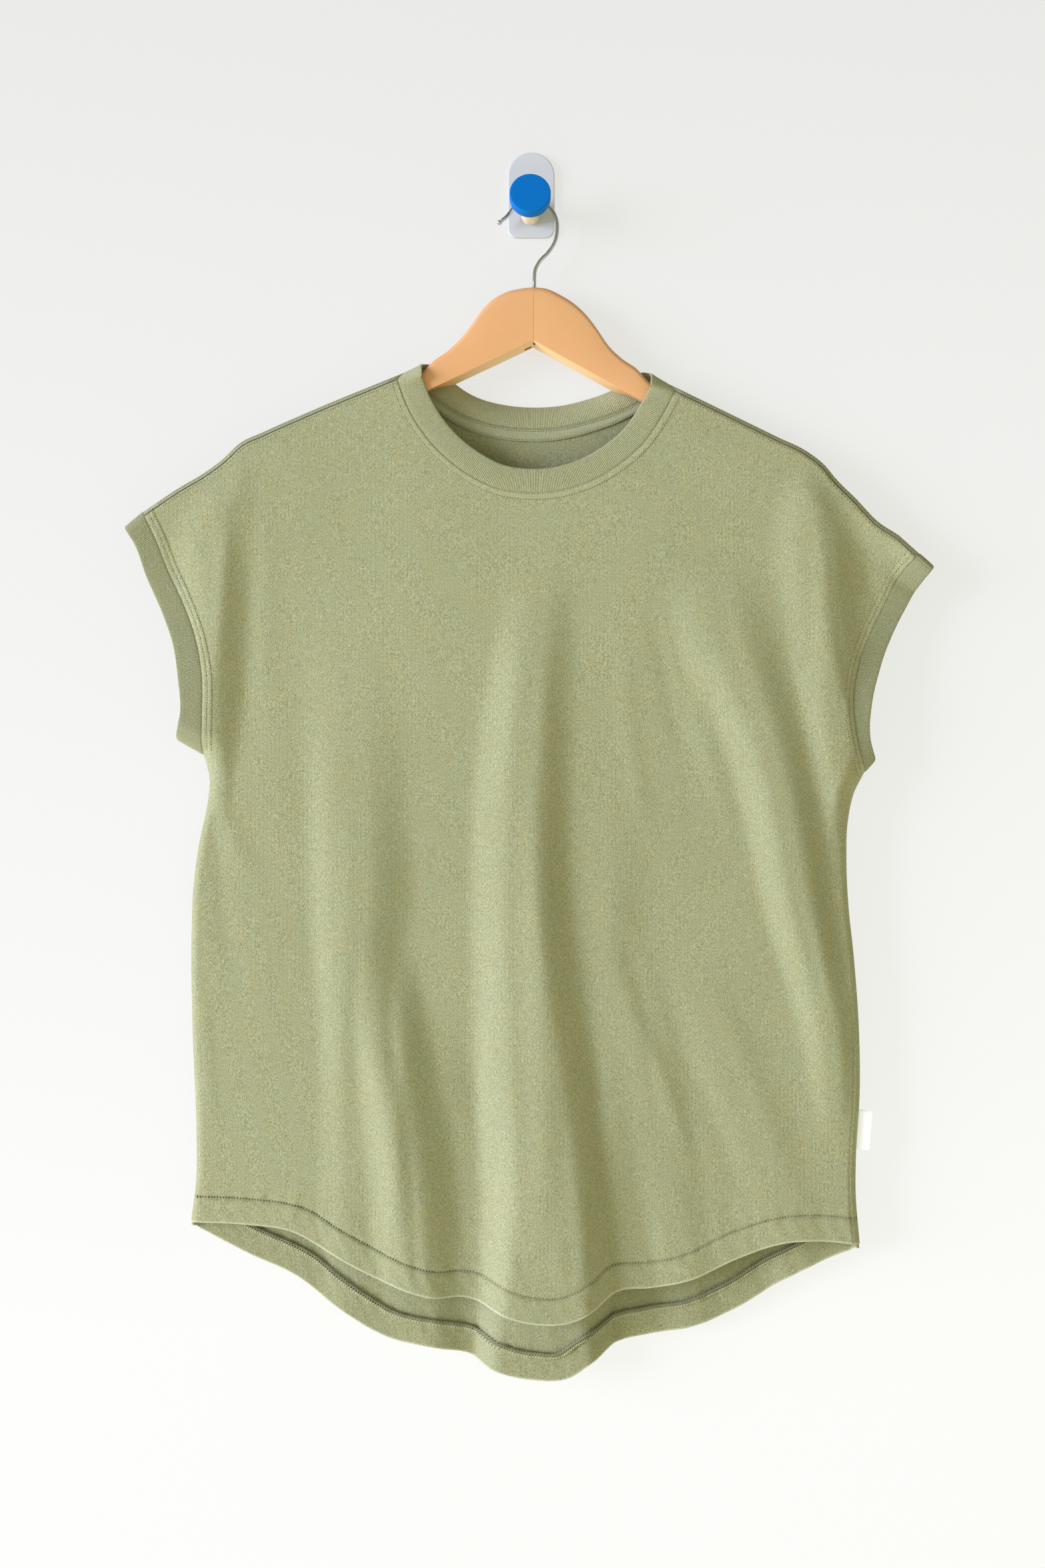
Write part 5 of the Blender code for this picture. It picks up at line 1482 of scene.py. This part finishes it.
def cover_loops():
    """Thread that zigzags over the raw edge, as one tube."""
    high, low = hem_places("back", COVER_HIGH), hem_places("back", COVER_LOW)
    count = min(len(high[0]), len(low[0]))
    upper, _ = inner_places(high[0][:count], high[1][:count], 0.25)
    lower, _ = inner_places(low[0][:count], low[1][:count], 0.55)
    middle = (lower + np.roll(upper, -1, axis=0)) / 2 + np.array([0, -0.35, 0])
    rising = (lower + upper) / 2 + np.array([0, -0.3, 0])
    path = np.stack([upper, rising, lower, middle], axis=1).reshape(-1, 3)[:-1]
    tube("cover_loops", path, LOOP_RADIUS, 1, False, loop_thread)


def cover_chain():
    """The lighter chain below the loops: short bars that lean in turn, each over the next."""
    rows = []
    for up, lean in ((CHAIN_UP + 0.5, 0.45), (CHAIN_UP - 0.5, -0.45)):
        places, out = inner_places(*hem_places("back", up), 0.35)
        along = unit(np.gradient(places, axis=0))
        across = unit(np.cross(out, along))
        rows.append(Row(places, unit(along + across * lean), out))
    points, faces = bars(rows, HEM_PITCH * 1.25, 0.55, 0.5, 0.1)
    mesh_piece("cover_chain", points, faces, chain_thread)


hem_slots()
cover_loops()
cover_chain()
print("hem stitched")

# %% [markdown]
# The wire is bent in one plane: a stem up from the wood, the big bend over the peg, and a short tail
# that ends in a ball. A curve with a round bevel is what bent wire is.

# %% Wire hook
def chrome_material():
    nodes = Nodes("chrome", roughness=0.12, metallic=1.0)
    smear = nodes.noise(nodes.place(), 90, detail=2)
    nodes.finish("Base Color", nodes.mix(nodes.spread(smear, 0.3, 0.7, 0.0, 0.3), colour(196, 197, 196),
                                         colour(150, 150, 148)))
    nodes.finish("Roughness", nodes.spread(smear, 0.3, 0.7, 0.08, 0.2))
    return nodes.material


chrome = chrome_material()


def hook_path():
    """Middle line of the wire, from the top of the wood, over the peg, to its tip."""
    centre = Point(0.3, HOOK_TOP - HOOK_RADIUS)
    stem = [(2.4, -76.2), (2.4, -69.5), (3.0, -63), (6.5, -56), (13.5, -48.5), (18.6, -40), (20.4, -31)]
    bend = [(centre.x + HOOK_RADIUS * cos(radians(angle)), centre.z + HOOK_RADIUS * sin(radians(angle)))
            for angle in range(15, 151, 15)]
    tail = [(-19.8, -20.4), (-23.2, -23.3)]
    length, along = smooth_line(stem + bend + tail)
    return along(np.linspace(0, length, 130))


def make_hook():
    path = hook_path()
    places = [(x, hanger_y(z), z) for x, z in path]
    made = tube("hook_wire", places, WIRE / 2, 5, True, chrome)
    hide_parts("hook")
    return path


def make_ball(path):
    """Ball on the wire's end, with the short neck where it was turned down."""
    away = (path[-1] - path[-2]) / np.linalg.norm(path[-1] - path[-2])
    profile = [(0.0, -1.2), (1.0, -1.1), (1.02, -0.5), (0.85, 0.0), (1.0, 0.35)]
    profile += [(TIP_RADIUS * sin(radians(a)), TIP_RADIUS + 0.3 - TIP_RADIUS * cos(radians(a)))
                for a in range(38, 180, 12)]
    profile += [(0.0, 2 * TIP_RADIUS + 0.3)]
    axis = np.array([away[0], 0.0, away[1]])
    side = np.array([-away[1], 0.0, away[0]])
    end = np.array([path[-1][0], hanger_y(path[-1][1]), path[-1][1]])
    points = []
    for radius, along in profile:
        for angle in range(0, 360, 15):
            turn = radians(angle)
            points.append(end + axis * along + radius * (side * cos(turn) + np.array([0, sin(turn), 0])))
    index = np.arange(len(points)).reshape(len(profile), 24)
    index = np.concatenate([index, index[:, :1]], axis=1)
    made = mesh_piece("hook_ball", points, grid_faces(index, False), chrome, None, ["hook_tip"])
    weld(made)


def weld(made):
    """Join points that lie in one place, and face the surface out."""
    bm = bmesh.new()
    bm.from_mesh(made.data)
    bmesh.ops.remove_doubles(bm, verts=bm.verts, dist=0.00001)
    bmesh.ops.recalc_face_normals(bm, faces=bm.faces)
    bm.to_mesh(made.data)
    bm.free()


wire_path = make_hook()
make_ball(wire_path)

# %% [markdown]
# The wall hook is a thin metal plate with a round top, a short turned peg of pale wood that tips up a
# little, and a flat round knob painted blue. The plate and the peg keep their solids and get a
# finish. The knob is turned again with more steps, because its round face is seen close up.

# %% Wall plate, peg and knob
PEG_TILT = radians(10.5)
PEG_RADIUS = 7.3
PEG_LENGTH = 27.0
PEG_PLACE = (-1.0, -4.3, -17.7)
KNOB_RADIUS = 15.9
KNOB_THICK = 11.0


def paint_material(name, base, edge, roughness, orange_peel):
    nodes = Nodes(name, roughness)
    cloud = nodes.noise(nodes.place(), 45, detail=2)
    nodes.finish("Base Color", nodes.mix(nodes.spread(cloud, 0.35, 0.65, 0.0, 0.35), base, edge))
    nodes.bump(nodes.noise(nodes.place(), 800, detail=2), orange_peel, 0.4)
    nodes.finish("Specular IOR Level", 0.12)
    return nodes.material


def peg_material():
    nodes = Nodes("peg_wood", roughness=0.55)
    grain = nodes.noise(nodes.place(scale=(140, 14, 140)), 4.0, detail=4)
    nodes.finish("Base Color", nodes.mix(nodes.spread(grain, 0.34, 0.66), colour(218, 198, 170),
                                         colour(236, 218, 192)))
    nodes.bump(grain, 0.00006, 0.5)
    return nodes.material


def make_knob():
    rim, top = KNOB_RADIUS, KNOB_THICK
    profile = [
        (0, top), (rim - 2.0, top), (rim - 0.9, top), (rim - 0.45, top - 0.08), (rim - 0.12, top - 0.35),
        (rim, top - 0.8), (rim, top - 1.6), (rim, 2.8), (rim, 2.0), (rim - 0.3, 1.1), (rim - 0.9, 0.4),
        (rim - 1.8, 0.05), (rim - 2.6, 0), (0, 0)]
    mesh = bpy.data.meshes.new("knob_painted")
    mesh.from_pydata([Vector((radius, 0, along)) * MM for radius, along in profile],
                     [(i, i + 1) for i in range(len(profile) - 1)], [])
    mesh.materials.append(paint_material("knob_paint", colour(0, 112, 196), colour(0, 117, 200), 0.6,
                                         0.00004))
    made = bpy.data.objects.new("knob_painted", mesh)
    scene.collection.objects.link(made)
    turn = made.modifiers.new("turn", "SCREW")
    turn.steps = turn.render_steps = 96
    turn.use_merge_vertices = True
    turn.merge_threshold = 0.00001
    turn.use_smooth_shade = True
    apply_modifiers(made)
    shift = Vector((0, -PEG_RADIUS * sin(PEG_TILT), 0))
    axis = Vector((0, -cos(PEG_TILT), sin(PEG_TILT)))
    place = Matrix.Translation((Vector(PEG_PLACE) + shift + axis * (PEG_LENGTH + 0.3)) * MM)
    made.data.transform(place @ Matrix.Rotation(radians(90) - PEG_TILT, 4, "X"))
    face_out(made)
    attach(made, "root")
    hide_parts("knob")


def finish_node(node, material):
    data = bpy.data.objects[node].data
    data.materials.clear()
    data.materials.append(material)


make_knob()
finish_node("wall_plate", paint_material("plate_paint", colour(210, 212, 216), colour(202, 204, 209), 0.45,
                                         0.00005))
finish_node("peg", peg_material())


# %% [markdown]
# The wall and the floor are plain and pale. The photograph has broad daylight from the upper left and
# a bright room all round, so there is one large soft light there and a pale world. The wall is made
# one-sided and doesn't block light, so that the back of the shirt can be looked at from behind.

# %% Stage and light
WORLD_ABOVE = 0.18
WORLD_BELOW = 1.06
SKY_COLOUR = (0.99, 0.97, 0.72, 1)
KEY_COLOUR = (0.93, 1.0, 1.32)
KEY_WATTS = 1680
KEY_SIZE = 6.0
KEY_PLACE = (-10.9, -4.9, 0.6)
WALL_GLOW = (0.66, 0.82)         # high and low on the wall; it keeps the shadows there faint
AIM = (0.0, 0.0, -0.5)
FLOOR = -1.35


def stage_material():
    nodes = Nodes("wall_paint", roughness=0.92)
    nodes.finish("Base Color", colour(108, 108, 107))
    level = nodes.add("ShaderNodeSeparateXYZ", {0: nodes.add("ShaderNodeNewGeometry").outputs["Position"]})
    nodes.finish("Emission Color", colour(254, 254, 251))
    nodes.finish("Emission Strength", nodes.spread(level.outputs["Z"], 0.15, -0.9, *WALL_GLOW))
    nodes.bump(nodes.noise(nodes.place(), 170, detail=3), 0.0003, 0.4)
    light = nodes.add("ShaderNodeLightPath")
    facing = nodes.maths("SUBTRACT", 1.0, nodes.add("ShaderNodeNewGeometry").outputs["Backfacing"])
    seen = nodes.maths("MAXIMUM", light.outputs["Is Camera Ray"], light.outputs["Is Glossy Ray"])
    clear = nodes.add("ShaderNodeBsdfTransparent").outputs[0]
    mixed = nodes.add("ShaderNodeMixShader", {0: nodes.maths("MULTIPLY", facing, seen), 1: clear,
                                              2: nodes.shader.outputs[0]}).outputs[0]
    nodes.give(nodes.tree.nodes["Material Output"].inputs["Surface"], mixed)
    return nodes.material


def stage_plane(name, size, place, tilt, material):
    bm = bmesh.new()
    bmesh.ops.create_grid(bm, x_segments=1, y_segments=1, size=size / 2)
    mesh = bpy.data.meshes.new(name)
    bm.to_mesh(mesh)
    bm.free()
    mesh.materials.append(material)
    made = bpy.data.objects.new(name, mesh)
    made.location = place
    made.rotation_euler = (tilt, 0, 0)
    scene.collection.objects.link(made)


pale = stage_material()
stage_plane("room_wall", 8.0, (0, 0.0004, 0), radians(90), pale)
stage_plane("room_floor", 8.0, (0, 0, FLOOR), 0, pale)

world = bpy.data.worlds.new("room")
scene.world = world
world.use_nodes = True
sky = world.node_tree.nodes["Background"]
sky.inputs["Color"].default_value = SKY_COLOUR
direction = world.node_tree.nodes.new("ShaderNodeTexCoord")
upward = world.node_tree.nodes.new("ShaderNodeSeparateXYZ")
strength = world.node_tree.nodes.new("ShaderNodeMapRange")
strength.inputs["From Min"].default_value = -1
strength.inputs["To Min"].default_value = WORLD_BELOW
strength.inputs["To Max"].default_value = WORLD_ABOVE
world.node_tree.links.new(direction.outputs["Generated"], upward.inputs[0])
world.node_tree.links.new(upward.outputs["Z"], strength.inputs["Value"])
world.node_tree.links.new(strength.outputs[0], sky.inputs["Strength"])

key_data = bpy.data.lights.new("window", "AREA")
key_data.size = KEY_SIZE
key_data.energy = KEY_WATTS
key_data.color = KEY_COLOUR
key = bpy.data.objects.new("window", key_data)
key.location = KEY_PLACE
key.rotation_euler = (Vector(AIM) - Vector(KEY_PLACE)).to_track_quat("-Z", "Y").to_euler()
scene.collection.objects.link(key)
scene.view_settings.view_transform = "Standard"
